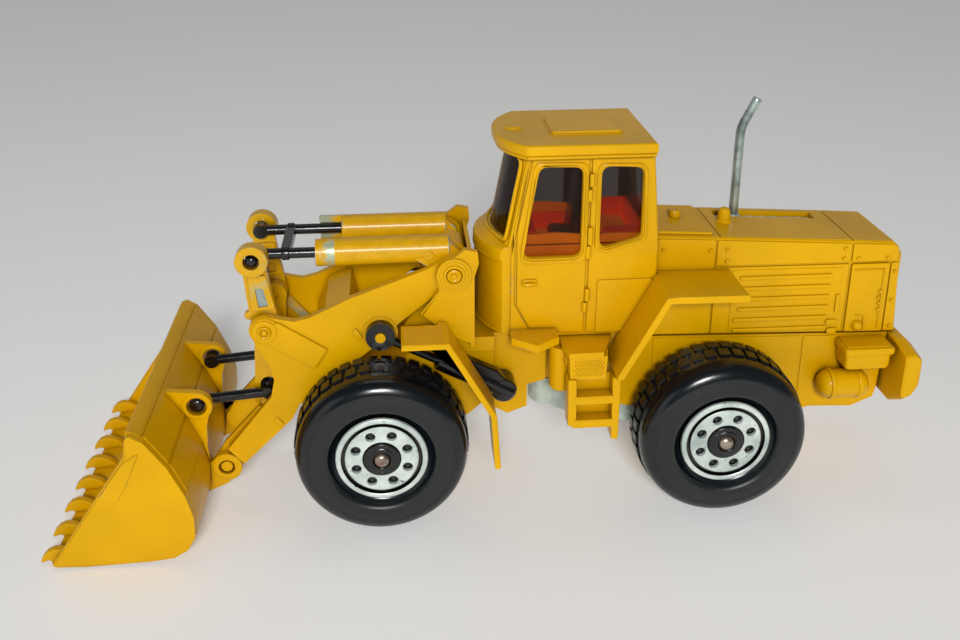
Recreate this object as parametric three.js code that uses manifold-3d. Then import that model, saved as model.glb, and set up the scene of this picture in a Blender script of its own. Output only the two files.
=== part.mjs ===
// Toy front loader, 1:50, wheel-mounted and articulated in the middle. Millimetres, +Z up.
// +X points to the bucket, +Y to the machine's left. The ground is z = 0.
// Profiles are drawn from a working origin; CENTRE_SHIFT moves them to the middle of the overall length.
import * as THREE from 'three';
import { mergeVertices } from 'three/addons/utils/BufferGeometryUtils.js';
import Module from 'manifold-3d';

const wasm = await Module();
wasm.setup();

// ---- driving dimensions ----
const CENTRE_SHIFT = 4.05;
const FINE = 24;
const ROUND = 16;

const WHEEL = { frontX: 17.35, rearX: -47.9, z: 16.5, radius: 16.5, inner: 10.4, outer: 23.2, rimR: 8.6 };
const AXLE_R = 1.5;
const RUNNING_GAP = 0.06;
const STEER_X = -16.5;

const PIVOT = {
  boom: [3.0, 48.8],
  crank: [38.6, 37.9],
  crankTop: [40.2, 51.7],
  crankLow: [39.2, 23.4],
  bucketLink: [52.7, 22.2],
  bucket: [48.1, 8.3],
  liftPin: [17.0, 36.6],
  liftBase: [-6.4, 24.2],
};
const PIN_R = 1.0;

const BOOM_IN = 8.9;
const BOOM_OUT = 10.5;
const CHEEK_IN = 10.75;
const CHEEK_OUT = 12.1;
const EAR_IN = 8.95;
const EAR_OUT = 10.4;
const ROD_Y = 6.0;
const ROD_R = 1.0;
const LINK_PIN_R = 1.2;
const BARREL_R = 2.65;
const BARREL_Z = 51.7;
const BORE_DROP = 0.5;
const LIFT_Y = 11.7;
const BUCKET_HALF = 27.4;
const BUCKET_WALL = 1.2;
const HOOD_HALF = 8.5;
const CAB_HALF = 10.5;
const NOSE_R = 14.8;

// ---- solid helpers ----
function toSolid(geometry) {
  const g = geometry.clone();
  g.deleteAttribute('normal');
  g.deleteAttribute('uv');
  const m = mergeVertices(g, 1e-5);
  const index = m.index.array;
  const mesh = new wasm.Mesh({
    numProp: 3,
    vertProperties: new Float32Array(m.attributes.position.array),
    triVerts: new Uint32Array(index),
  });
  mesh.merge();
  return new wasm.Manifold(mesh);
}

function toGeometry(solid) {
  const mesh = solid.getMesh();
  const g = new THREE.BufferGeometry();
  g.setAttribute('position', new THREE.BufferAttribute(new Float32Array(mesh.vertProperties), 3));
  g.setIndex(new THREE.BufferAttribute(new Uint32Array(mesh.triVerts), 1));
  return g;
}

function union(parts) {
  return parts.map(toSolidIfNeeded).reduce((a, b) => a.add(b));
}

function toSolidIfNeeded(part) {
  return part.isBufferGeometry ? toSolid(part) : part;
}

function cut(body, tools) {
  return tools.map(toSolidIfNeeded).reduce((a, b) => a.subtract(b), toSolidIfNeeded(body));
}

function box(x0, x1, y0, y1, z0, z1) {
  const g = new THREE.BoxGeometry(x1 - x0, y1 - y0, z1 - z0);
  return g.translate((x0 + x1) / 2, (y0 + y1) / 2, (z0 + z1) / 2);
}

// outline in (x, z), thickness along y
function sidePlate(outline, y0, y1) {
  const shape = new THREE.Shape(outline.map(([x, z]) => new THREE.Vector2(x, z)));
  const g = new THREE.ExtrudeGeometry(shape, { depth: y1 - y0, bevelEnabled: false, steps: 1 });
  return g.rotateX(Math.PI / 2).translate(0, y1, 0);
}

// outline in (x, y), thickness along z
function planPlate(outline, z0, z1) {
  const shape = new THREE.Shape(outline.map(([x, y]) => new THREE.Vector2(x, y)));
  const g = new THREE.ExtrudeGeometry(shape, { depth: z1 - z0, bevelEnabled: false, steps: 1 });
  return g.translate(0, 0, z0);
}

// outline in (y, z), thickness along x
function crossPlate(outline, x0, x1) {
  const shape = new THREE.Shape(outline.map(([y, z]) => new THREE.Vector2(y, z)));
  const g = new THREE.ExtrudeGeometry(shape, { depth: x1 - x0, bevelEnabled: false, steps: 1 });
  return g.rotateX(Math.PI / 2).rotateZ(Math.PI / 2).translate(x0, 0, 0);
}

function rodY([x, z], r, y0, y1, segments = ROUND) {
  return new THREE.CylinderGeometry(r, r, y1 - y0, segments).translate(x, (y0 + y1) / 2, z);
}

function rodZ([x, y], r, z0, z1, segments = ROUND) {
  return new THREE.CylinderGeometry(r, r, z1 - z0, segments).rotateX(Math.PI / 2).translate(x, y, (z0 + z1) / 2);
}

function rodX([y, z], r, x0, x1, segments = ROUND) {
  return new THREE.CylinderGeometry(r, r, x1 - x0, segments).rotateZ(Math.PI / 2).translate((x0 + x1) / 2, y, z);
}

// round bar between two points of the side view, at one y
function rodXZ(a, b, y, r, segments = ROUND) {
  const dx = b[0] - a[0];
  const dz = b[1] - a[1];
  const g = new THREE.CylinderGeometry(r, r, Math.hypot(dx, dz), segments);
  g.rotateX(Math.PI / 2).rotateY(Math.atan2(dx, dz));
  return g.translate((a[0] + b[0]) / 2, y, (a[1] + b[1]) / 2);
}

// body of revolution about the y axis through (x, z); profile is [radius, y] pairs
function turnedY([x, z], profile, segments = FINE) {
  const points = profile.map(([r, y]) => new THREE.Vector2(r, y));
  return new THREE.LatheGeometry(points, segments).translate(x, 0, z);
}

function arc([cx, cz], r, from, to, steps) {
  const out = [];
  for (let i = 0; i <= steps; i += 1) {
    const a = THREE.MathUtils.degToRad(from + ((to - from) * i) / steps);
    out.push([cx + r * Math.cos(a), cz + r * Math.sin(a)]);
  }
  return out;
}

function roundedRect(x0, x1, z0, z1, r, steps = 3) {
  return [
    ...arc([x1 - r, z1 - r], r, 0, 90, steps),
    ...arc([x0 + r, z1 - r], r, 90, 180, steps),
    ...arc([x0 + r, z0 + r], r, 180, 270, steps),
    ...arc([x1 - r, z0 + r], r, 270, 360, steps),
  ];
}

function mirrorY(solid) {
  return toSolidIfNeeded(solid).mirror([0, 1, 0]);
}

// ---- materials ----
const paint = () => new THREE.MeshStandardMaterial({ color: 0xe9ac0c, roughness: 0.36, metalness: 0.15 });
const blackPlastic = () => new THREE.MeshStandardMaterial({ color: 0x121214, roughness: 0.3, metalness: 0.0 });
const rubber = () => new THREE.MeshStandardMaterial({ color: 0x1d1f20, roughness: 0.55, metalness: 0.0 });
const rimPlastic = () => new THREE.MeshStandardMaterial({ color: 0xdde6dd, roughness: 0.35, metalness: 0.0 });
const zinc = () => new THREE.MeshStandardMaterial({ color: 0x9fa5a3, roughness: 0.4, metalness: 0.85 });
const steel = () => new THREE.MeshStandardMaterial({ color: 0xb09a86, roughness: 0.3, metalness: 0.9 });
const smokedGlazing = () => new THREE.MeshStandardMaterial({ color: 0x3a2c22, roughness: 0.15, metalness: 0.0 });
const redPlastic = () => new THREE.MeshStandardMaterial({ color: 0xb5330f, roughness: 0.45, metalness: 0.0 });

const model = new THREE.Group();
model.name = 'toy_front_loader';

function add(name, solid, material) {
  const geometry = toGeometry(toSolidIfNeeded(solid)).translate(CENTRE_SHIFT, 0, 0);
  const mesh = new THREE.Mesh(geometry, material());
  mesh.name = name;
  model.add(mesh);
}

function addPair(name, solid, material) {
  add(`${name}_left`, solid, material);
  add(`${name}_right`, mirrorY(solid), material);
}

// ---- wheels ----
const TREAD_LUGS = 15;
const TYRE_SIDES = 30;
const RIM_SIDES = 24;
const BOLT_HOLE_SIDES = 8;
const GROOVE_DEPTH = 0.75;

function tyre() {
  const { radius: r, inner, outer, rimR, z } = WHEEL;
  const profile = [
    [rimR + 0.08, inner + 1.3],
    [rimR + 1.2, inner + 0.5],
    [12.6, inner],
    [r - 1.3, inner + 0.9],
    [r, inner + 2.3],
    [r, outer - 2.3],
    [r - 1.3, outer - 0.9],
    [12.6, outer],
    [rimR + 1.9, outer - 0.6],
    [rimR + 1.2, outer - 1.7],
    [rimR + 0.08, outer - 1.9],
    [rimR + 0.08, inner + 1.3],
  ];
  const body = turnedY([0, 0], profile, TYRE_SIDES);
  const middle = (inner + outer) / 2;
  const grooves = [];
  for (let i = 0; i < TREAD_LUGS; i += 1) {
    const step = (2 * Math.PI) / TREAD_LUGS;
    grooves.push(groove(i * step, inner - 0.5, middle - 0.6));
    grooves.push(groove((i + 0.5) * step, middle + 0.6, outer + 0.5));
  }
  return { solid: cut(body, grooves), z };
}

function groove(angle, y0, y1) {
  const r = WHEEL.radius;
  const g = new THREE.BoxGeometry(1.5, y1 - y0, 2 * GROOVE_DEPTH);
  g.translate(0, (y0 + y1) / 2, r);
  return g.rotateY(angle);
}

function rim() {
  const { outer, rimR } = WHEEL;
  const face = outer - 0.9;
  const profile = [
    [AXLE_R + RUNNING_GAP, 12.6],
    [rimR, 12.6],
    [rimR, face],
    [7.55, face],
    [7.35, face - 0.55],
    [6.9, face - 0.55],
    [6.75, face - 0.15],
    [3.5, face - 0.15],
    [3.5, face - 1.2],
    [AXLE_R + RUNNING_GAP, face - 1.2],
    [AXLE_R + RUNNING_GAP, 12.6],
  ];
  const holes = [];
  for (let i = 0; i < 8; i += 1) {
    const a = ((i + 0.5) * Math.PI) / 4;
    holes.push(rodY([5.0 * Math.cos(a), 5.0 * Math.sin(a)], 0.75, face - 1.8, face + 1, BOLT_HOLE_SIDES));
  }
  return cut(turnedY([0, 0], profile, RIM_SIDES), holes);
}

function hub() {
  const face = WHEEL.outer - 0.9;
  const profile = [
    [AXLE_R + RUNNING_GAP, face - 1.2],
    [3.42, face - 1.2],
    [3.42, face + 0.2],
    [3.1, face + 0.5],
    [AXLE_R + 0.5, face + 0.5],
    [AXLE_R + RUNNING_GAP, face + 0.15],
    [AXLE_R + RUNNING_GAP, face - 1.2],
  ];
  return turnedY([0, 0], profile, ROUND);
}

function addWheels() {
  const pieces = { tyre: [tyre().solid, rubber], rim: [rim(), rimPlastic], hub: [toSolid(hub()), blackPlastic] };
  for (const [where, x] of [['front', WHEEL.frontX], ['rear', WHEEL.rearX]]) {
    for (const [piece, [solid, material]] of Object.entries(pieces)) {
      addPair(`${piece}_${where}`, solid.translate([x, 0, WHEEL.z]), material);
    }
  }
}

function axle(x) {
  const end = WHEEL.outer + 0.1;
  const dome = AXLE_R - 0.55;
  const profile = [
    [0, -end],
    [dome, -end + 0.15],
    [AXLE_R, -end + 0.8],
    [AXLE_R, end - 0.8],
    [dome, end - 0.15],
    [0, end],
  ];
  return turnedY([x, WHEEL.z], profile, ROUND);
}

// ---- front frame ----
const LIFT_PEG = [7.0, 10.25];
const FRONT = { half: 8.3, hitchHalf: 7.6, shelfTop: 31.9, hitchTop: 34.2, hitchRear: -15.2, floor: 10.6 };
const KNUCKLE_R = 3.6;
const FORK_GAP = 0.6;
const TONGUE = { z0: 32.6, z1: 33.5 };

function frontFrame() {
  const pod = sidePlate([
    [-4.8, 31.9], [-4.8, 21.0], [6.0, 11.6], [14.0, FRONT.floor], [20.6, FRONT.floor], [21.6, 13.0],
    [21.6, 21.5], [17.0, 25.5], [10.5, 31.9],
  ], -FRONT.half, FRONT.half);
  const hitch = sidePlate([
    [-4.8, FRONT.hitchTop], [-4.8, 17.6], [-7.7, 15.9], [-11.6, 17.4], [-11.6, 22.3],
    [FRONT.hitchRear, 23.3], [FRONT.hitchRear, FRONT.hitchTop],
  ], -FRONT.hitchHalf, FRONT.hitchHalf);
  const shelf = box(-4.8, 9.2, -9.4, 9.4, 31.2, 34.2);
  const web = sidePlate([
    [-0.4, 34.0], [12.5, 34.0], [9.0, 40.0], [6.0, 45.0], [-0.4, 45.0],
  ], -3.0, 3.0);
  const wall = box(-0.8, 0.0, -CHEEK_OUT, CHEEK_OUT, 33.6, 51.0);
  const topBoss = union([web, rodY(PIVOT.boom, 3.0, -3.0, 3.0), box(-0.4, 4.6, -3.0, 3.0, 44.0, 48.8)]);
  const cheeks = [towerCheek(), mirrorY(towerCheek())];
  const knuckleSpace = rodZ([STEER_X, 0], KNUCKLE_R + FORK_GAP, 20.0, 40.0, FINE);
  const tongue = planPlate([
    ...arc([STEER_X, 0], 3.2, 90, 270, 8), [-9.0, -3.2], [-9.0, 3.2],
  ], TONGUE.z0, TONGUE.z1);
  const frame = union([pod, hitch, shelf, wall, topBoss, ...cheeks]);
  const opened = cut(frame, [knuckleSpace, underNoseRelief()]).add(toSolid(tongue));
  const liftPegs = [LIFT_PEG, LIFT_PEG.map((y) => -y).reverse()].map(([y0, y1]) => rodY(PIVOT.liftBase, PIN_R, y0, y1, 16));
  return cut(union([opened, ...liftPegs]), [
    rodY([WHEEL.frontX, WHEEL.z], AXLE_R + 0.02, -20, 20),
    rodY(PIVOT.boom, PIN_R + 0.02, -20, 20, 16),
    rodZ([STEER_X, 0], PIN_R + RUNNING_GAP, 20, 40, 16),
  ]);
}

// the round cab nose swings over the hitch, so everything there stays below its rim
function underNoseRelief() {
  return rodZ([STEER_X, 0], NOSE_R + 0.35, FRONT.hitchTop + 0.05, 60, 40);
}

function towerCheek() {
  const spur = sidePlate([
    [-0.1, 34.4], [3.6, 36.0], [8.9, 40.7], [5.6, 45.5], [6.3, 48.8], [3.0, 52.1],
    [0.9, 53.7], [-1.4, 53.2], [-1.6, 50.8], [-0.1, 46.0],
  ], CHEEK_IN, CHEEK_OUT);
  return union([spur, rodY(PIVOT.boom, 3.25, CHEEK_IN, CHEEK_OUT + 0.35)]);
}

function frontFender() {
  const inner = 13.7;
  const outer = 21.3;
  const skin = sidePlate([
    [13.1, 38.3], [13.1, 39.4], [4.5, 39.4], [-4.1, 24.0], [-4.9, 12.4], [-3.9, 12.4],
    [-3.1, 23.7], [5.1, 38.3],
  ], inner, outer);
  const root = box(4.7, 6.2, CHEEK_OUT, inner + 0.1, 38.35, 39.35);
  return union([skin, root]);
}

// ---- boom ----
function boomPlate() {
  const outline = [
    ...arc(PIVOT.boom, 2.85, 150, 60, 4),
    [8.0, 49.3], [22.6, 43.9], [30.1, 40.3], [33.0, 39.6], [35.4, 40.1],
    ...arc(PIVOT.crank, 3.0, 95, -40, 6),
    [40.0, 34.0], [38.2, 30.4], [37.6, 27.3], [38.4, 23.6], [40.3, 21.3],
    [47.5, 12.4], [44.7, 9.0], [44.1, 9.4], [37.2, 16.1], [34.6, 18.7], [33.0, 21.8],
    [27.0, 26.6], [19.0, 33.0], [13.2, 38.6], [6.2, 44.2],
    ...arc(PIVOT.boom, 2.85, -60, -150, 4),
  ];
  const tongue = sidePlate([
    ...arc(PIVOT.bucket, 2.7, -140, 20, 6), [48.0, 13.4], [41.0, 21.0], [37.5, 17.0], [43.6, 9.6],
  ], BOOM_IN - 1.3, BOOM_IN);
  return cut(union([
    sidePlate(outline, BOOM_IN, BOOM_OUT),
    tongue,
    rodY(PIVOT.bucket, 1.15, BOOM_IN - 0.2, EAR_OUT - 0.25, 16),
    rodY(PIVOT.crank, 2.35, BOOM_OUT - 0.1, BOOM_OUT + 0.4),
    rodY(PIVOT.liftPin, PIN_R, BOOM_OUT - 0.1, LIFT_Y + 1.2, 16),
  ]), [
    rodY(PIVOT.boom, PIN_R + RUNNING_GAP, 0, 20, 16),
    rodY(PIVOT.crank, PIN_R + 0.02, 0, 20, 16),
  ]);
}

function boomCrossTube() {
  const web = sidePlate([
    [24.6, 30.6], [30.2, 33.9], [27.5, 40.2], [22.8, 42.0], [21.6, 36.4],
  ], -BOOM_IN, BOOM_IN);
  return web;
}

function crankRivet() {
  const profile = [
    [0, 5.2], [PIN_R, 5.2], [PIN_R, BOOM_OUT + 0.4], [1.55, BOOM_OUT + 0.4], [1.45, BOOM_OUT + 0.7],
    [0, BOOM_OUT + 0.85],
  ];
  return turnedY(PIVOT.crank, profile, 16);
}

function boomPin() {
  const end = CHEEK_OUT + 0.35;
  const profile = [
    [0, -end - 0.5], [1.5, -end - 0.3], [1.6, -end], [PIN_R, -end], [PIN_R, end], [1.6, end],
    [1.5, end + 0.3], [0, end + 0.5],
  ];
  return turnedY(PIVOT.boom, profile, 16);
}

// ---- linkage ----
const FORK_HALF = 1.65;
const CRANK = { hubR: 2.7, lowIn: 4.9, lowOut: 6.7, armIn: 7.3, armOut: 8.7, eyeOut: 9.9, eyeR: 3.05, eyeHole: 1.55 };

function bar(a, b, halfA, halfB, y0, y1) {
  const dx = b[0] - a[0];
  const dz = b[1] - a[1];
  const length = Math.hypot(dx, dz);
  const n = [-dz / length, dx / length];
  return sidePlate([
    [a[0] + n[0] * halfA, a[1] + n[1] * halfA], [b[0] + n[0] * halfB, b[1] + n[1] * halfB],
    [b[0] - n[0] * halfB, b[1] - n[1] * halfB], [a[0] - n[0] * halfA, a[1] - n[1] * halfA],
  ], y0, y1);
}

// the open fork at the lower end lets the link's cross pin slide along the arm
function forkEnd(distance) {
  const dx = PIVOT.crankLow[0] - PIVOT.crank[0];
  const dz = PIVOT.crankLow[1] - PIVOT.crank[1];
  const length = Math.hypot(dx, dz);
  return [PIVOT.crankLow[0] + (dx / length) * distance, PIVOT.crankLow[1] + (dz / length) * distance];
}

function bellCrank() {
  const { hubR, lowIn, lowOut, armIn, armOut, eyeOut, eyeR, eyeHole } = CRANK;
  return cut(union([
    rodY(PIVOT.crank, hubR, lowIn, BOOM_IN - 0.12),
    bar(PIVOT.crank, forkEnd(3.2), 2.4, 2.75, lowIn, lowOut),
    bar(PIVOT.crank, PIVOT.crankTop, 2.6, 2.1, armIn, armOut),
    rodY(PIVOT.crankTop, eyeR, armIn, eyeOut, FINE),
  ]), [
    rodY(PIVOT.crank, PIN_R + RUNNING_GAP, 0, 20, 16),
    rodY(PIVOT.crankTop, eyeHole, 0, 20),
    bar(forkEnd(-1.0), forkEnd(6.0), FORK_HALF, FORK_HALF, 0, 20),
    rodY(forkEnd(-1.0), FORK_HALF, 0, 20, 16),
  ]);
}

function tiltRods() {
  const top = PIVOT.crankTop;
  const tail = [17.0, top[1]];
  const parts = [];
  for (const side of [-1, 1]) {
    const y = side * ROD_Y;
    parts.push(rodXZ(tail, top, y, ROD_R, 16));
    parts.push(rodY(top, 1.05, Math.min(y, side * 9.5), Math.max(y, side * 9.5), 16));
    parts.push(rodY(top, 1.45, y - ROD_R, y + ROD_R, 16));
  }
  parts.push(box(33.3, 35.1, -ROD_Y, ROD_Y, top[1] - 0.9, top[1] + 0.9));
  return union(parts);
}

function lowerLink() {
  const low = PIVOT.crankLow;
  const ear = PIVOT.bucketLink;
  const y = 7.8;
  const parts = [rodY(low, LINK_PIN_R, -y - 0.9, y + 0.9, 16), rodY(low, 2.0, -4.6, 4.6)];
  for (const side of [-1, 1]) {
    parts.push(rodXZ(low, ear, side * y, 0.92, 16));
    parts.push(rodY(ear, 1.45, Math.min(side * 6.9, side * 9.9), Math.max(side * 6.9, side * 9.9), 16));
  }
  return union(parts);
}

const BARREL = { front: 28.6, rear: 3.5, cutBack: 4.4, bore: 1.8 };

function tiltBarrel() {
  const z = BARREL_Z;
  const tube = rodX([ROD_Y, z], BARREL_R, BARREL.rear, BARREL.front, 24);
  const lug = union([
    rodY(PIVOT.boom, 2.1, ROD_Y - 1.1, ROD_Y + 1.1),
    sidePlate([[1.0, 48.2], [4.8, 47.8], [9.6, 51.0], [9.6, 53.0], [3.6, 53.0]], ROD_Y - 1.1, ROD_Y + 1.1),
  ]);
  return cut(union([tube, lug]), [
    rodX([ROD_Y, z - BORE_DROP], BARREL.bore, 8.2, 40),
    box(BARREL.front - BARREL.cutBack, 40, -1, ROD_Y - 0.1, z - 4, z + 4),
    rodY(PIVOT.boom, PIN_R + RUNNING_GAP, 0, 20, 16),
  ]);
}

function liftBarrel() {
  const base = PIVOT.liftBase;
  const pin = PIVOT.liftPin;
  const along = new THREE.Vector2(pin[0] - base[0], pin[1] - base[1]).normalize();
  const at = (d) => [base[0] + along.x * d, base[1] + along.y * d];
  return cut(union([
    rodXZ(at(-2.4), at(14.2), LIFT_Y, 1.75),
    bar(at(-2.6), at(1.6), 2.3, 1.8, 8.4, LIFT_Y + 0.9),
  ]), [
    rodXZ(at(-1.4), at(20), LIFT_Y, 1.3, 16),
    rodY(base, PIN_R + RUNNING_GAP, 8, LIFT_PEG[1] + 0.06, 16),
  ]);
}

function liftRod() {
  const base = PIVOT.liftBase;
  const pin = PIVOT.liftPin;
  const along = new THREE.Vector2(pin[0] - base[0], pin[1] - base[1]).normalize();
  const tail = [base[0] - along.x * 0.6, base[1] - along.y * 0.6];
  return cut(union([
    rodXZ(tail, pin, LIFT_Y, 0.8, 16),
    rodY(pin, 2.8, BOOM_OUT + 0.15, LIFT_Y + 0.75, 24),
  ]), [
    rodY(pin, PIN_R + RUNNING_GAP, 0, 20, 16),
  ]);
}

// ---- bucket ----
const SIDE_OUTLINE = [
  [77.4, 0.5], [61.9, 23.0], [61.7, 26.6], [60.9, 27.0], [58.7, 25.6], [55.2, 20.4], [52.5, 14.2], [51.4, 9.6],
  [51.6, 5.3], [53.2, 2.7], [55.7, 1.2], [60.0, 0.7], [71.5, 0.2],
];
const SHELL_BACK = [
  [62.0, 27.0], [60.9, 27.4], [58.6, 25.9], [55.0, 20.5], [52.3, 14.2], [51.2, 9.6], [51.4, 5.2], [53.0, 2.4],
  [55.6, 0.9], [60.0, 0.4], [71.8, 0.1],
];
const SHELL_INNER = [
  [71.8, 1.1], [60.2, 1.5], [56.2, 2.1], [53.9, 3.6], [52.5, 5.8], [52.4, 9.6], [53.4, 13.8], [56.0, 19.7],
  [59.3, 24.5], [61.4, 25.8],
];
const TEETH = 8;

function bucketShell() {
  const half = BUCKET_HALF - BUCKET_WALL;
  return sidePlate([...SHELL_BACK, ...SHELL_INNER], -half, half);
}

function bucketSide() {
  const rib = sidePlate([[70.6, 6.4], [61.4, 19.7], [62.6, 20.6], [71.9, 7.2]], BUCKET_HALF - 0.1, BUCKET_HALF + 0.3);
  return union([sidePlate(SIDE_OUTLINE, BUCKET_HALF - BUCKET_WALL, BUCKET_HALF), rib]);
}

function bucketTeeth() {
  const half = BUCKET_HALF - BUCKET_WALL;
  const parts = [sidePlate([[71.8, 0.1], [77.9, 0.0], [77.9, 0.5], [71.8, 1.1]], -half, half)];
  for (let i = 0; i < TEETH; i += 1) {
    const y = -25.1 + (50.2 * i) / (TEETH - 1);
    parts.push(sidePlate([
      [73.4, 0.4], [79.9, 0.35], [79.9, 1.2], [79.4, 2.4], [78.1, 3.3], [76.4, 3.5], [74.6, 2.5],
    ], y - 0.95, y + 0.95));
  }
  return union(parts);
}

function bucketEar() {
  const back = sidePlate([[51.1, 9.6], [51.3, 5.2], [52.6, 2.7], [47.8, 4.8], [48.1, 8.3], [48.1, 11.2]], EAR_IN, EAR_OUT);
  const front = sidePlate([[52.2, 14.2], [54.9, 20.5], [58.5, 25.8], [52.7, 25.2], [50.0, 22.2], [51.1, 18.0], [51.4, 13.0], [51.05, 9.6]], EAR_IN, EAR_OUT);
  return cut(union([
    back,
    front,
    rodY(PIVOT.bucket, 3.0, EAR_IN, EAR_OUT, 24),
    rodY(PIVOT.bucketLink, 3.0, EAR_IN, EAR_OUT, 24),
  ]), [
    rodY(PIVOT.bucket, 1.6, 0, 20),
    rodY(PIVOT.bucketLink, 1.95, 0, 20),
    sidePlate([...SHELL_BACK.slice(1), [90, -5], [90, 40], [60.9, 40]], EAR_IN - 1, EAR_OUT + 1),
  ]);
}


// ---- rear frame ----
const BASE_PLATE_TOP = [[-12.9, 21.0], [-21.0, 20.9], [-24.9, 20.2], [-30.8, 17.2], [-33.8, 16.6]];
const CHASSIS_TOP = 34.2;
const HOOD_SEAM = 0.2;

function rearChassis() {
  const frame = sidePlate([
    [-24.9, CHASSIS_TOP], [-35.6, CHASSIS_TOP], [-35.6, 32.4], [-84.2, 31.1], [-83.5, 18.0], [-83.1, 16.4],
    [-78.7, 14.4], [-69.7, 14.8], [-60.0, 11.8], [-36.0, 11.8], [-33.8, 12.4], ...BASE_PLATE_TOP.slice(2).reverse(),
  ], -HOOD_HALF, HOOD_HALF);
  const neck = box(STEER_X - 9.0, STEER_X, -2.6, 2.6, 21.5, TONGUE.z0 - 0.3);
  const knuckle = rodZ([STEER_X, 0], KNUCKLE_R, 21.3, TONGUE.z0 - 0.3, 24);
  return cut(union([frame, neck, knuckle]), [
    rodY([WHEEL.rearX, WHEEL.z], AXLE_R + 0.02, -20, 20),
    rodZ([STEER_X, 0], PIN_R + 0.02, 10, 40, 16),
  ]);
}

function basePlate() {
  const side = sidePlate([...BASE_PLATE_TOP, [-33.8, 12.4], [-21.2, 14.7], [-12.9, 15.2]], -8, 8);
  const plan = planPlate([
    ...arc([STEER_X, 0], 3.6, -60, 60, 6), [-16.4, 3.5], [-21.6, 7.4], [-33.8, 7.4],
    [-33.8, -7.4], [-21.6, -7.4], [-16.4, -3.5],
  ], 10, 25);
  return cut(toSolid(side).intersect(toSolid(plan)), [rodZ([STEER_X, 0], PIN_R + 0.02, 10, 40, 16)]);
}

function steeringPin() {
  const z1 = TONGUE.z1 + 0.1;
  return union([
    rodZ([STEER_X, 0], PIN_R, 14.2, z1 + 0.1, 16),
    rodZ([STEER_X, 0], 1.7, z1, z1 + 0.5, 16),
  ]);
}

// ---- cab ----
const CAB = { floor: 34.4, sill: 52.8, head: 70.5, rear: -35.7, front: -7.5, wall: 1.1 };
const LEAN = 0.19;
const REAR_LEAN = 0.09;

function leanWalls(geometry, z0) {
  const p = geometry.attributes.position;
  for (let i = 0; i < p.count; i += 1) {
    const rise = p.getZ(i) - z0;
    if (p.getX(i) > -14) {
      p.setX(i, p.getX(i) - LEAN * rise);
    }
    if (p.getX(i) < -33) {
      p.setX(i, p.getX(i) + REAR_LEAN * rise);
    }
  }
  return geometry;
}

const SIDE_WINDOWS = [
  [[-12.9, 67.0], [-14.2, 68.6], [-19.6, 68.4], [-20.8, 67.2], [-20.8, 52.2], [-19.6, 50.9], [-11.2, 50.9], [-10.2, 52.2]],
  [[-24.4, 67.6], [-25.4, 68.5], [-31.2, 68.1], [-32.1, 67.0], [-32.2, 55.4], [-31.4, 54.4], [-25.8, 52.7], [-24.4, 53.6]],
];

function noseOutline(r, half) {
  const edge = THREE.MathUtils.radToDeg(Math.asin(half / r));
  return arc([STEER_X, 0], r, -edge, edge, 12);
}

function cabShell() {
  const { floor, sill, head, rear, front, wall } = CAB;
  const inner = CAB_HALF - wall;
  const tub = cut(box(rear, front, -CAB_HALF, CAB_HALF, floor, sill), [
    box(rear + wall, front - wall, -inner, inner, floor + 1.4, sill + 1),
  ]);
  const nose = planPlate([[front - 0.2, -CAB_HALF], ...noseOutline(NOSE_R, CAB_HALF), [front - 0.2, CAB_HALF]], 35.3, sill);
  const upper = leanWalls(planPlate([
    [rear, -CAB_HALF], [front, -CAB_HALF], [front + 1.0, -CAB_HALF + 1.3], [front - 0.4, -inner + 0.5],
    [front - 1.4, -inner], [rear + wall, -inner], [rear + wall, inner], [front - 1.4, inner],
    [front - 0.4, inner - 0.5], [front + 1.0, CAB_HALF - 1.3], [front, CAB_HALF], [rear, CAB_HALF],
  ], sill - 0.2, head), sill - 0.2);
  const openings = SIDE_WINDOWS.map((outline) => sidePlate(outline, -15, 15));
  const rearOpening = box(rear - 1, rear + 3.2, -7.6, 7.6, 56.0, 68.0);
  return cut(union([tub, nose, upper]), [...openings, rearOpening]);
}

function cabRoof() {
  const half = 12.4;
  const top = CAB.head + 2.8;
  const outline = (inset) => [
    [-34.1 + inset, -half + inset], ...roofFront(inset, half), [-34.1 + inset, half - inset],
  ];
  return union([
    planPlate(outline(0), CAB.head, top - 0.7),
    planPlate(outline(0.7), top - 0.8, top),
    box(-29.0, -15.7, -5.4, 5.4, top - 0.1, top + 0.55),
    rodZ([-9.2, 0], 1.5, top - 0.1, top + 0.3, ROUND),
  ]);
}

function roofFront(inset, half) {
  const out = [];
  for (let i = 0; i <= 8; i += 1) {
    const t = -1 + i / 4;
    out.push([-5.2 - inset - 5.0 * Math.abs(t) ** 2.6, (half - inset) * t]);
  }
  return out;
}

function cabGlazing() {
  const gap = 0.1;
  const half = CAB_HALF - CAB.wall - gap;
  const pane = 0.7;
  const bow = (inset) => [-8.4, -4.6, 0, 4.6, 8.4].map((y) => [
    CAB.front + 3.0 - inset - 0.034 * y * y, (y * (8.4 - inset)) / 8.4,
  ]);
  const rear = CAB.rear + CAB.wall + gap;
  const ring = (inset) => [
    [rear + inset, -half + inset], [CAB.front - 2.0, -half + inset], ...bow(inset),
    [CAB.front - 2.0, half - inset], [rear + inset, half - inset],
  ];
  const outer = leanWalls(planPlate(ring(0), CAB.sill + 0.1, CAB.head - 0.1), CAB.sill + 0.1);
  const inner = leanWalls(planPlate(ring(pane), CAB.sill - 1, CAB.head + 1), CAB.sill + 0.1);
  return cut(outer, [inner]);
}

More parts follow.
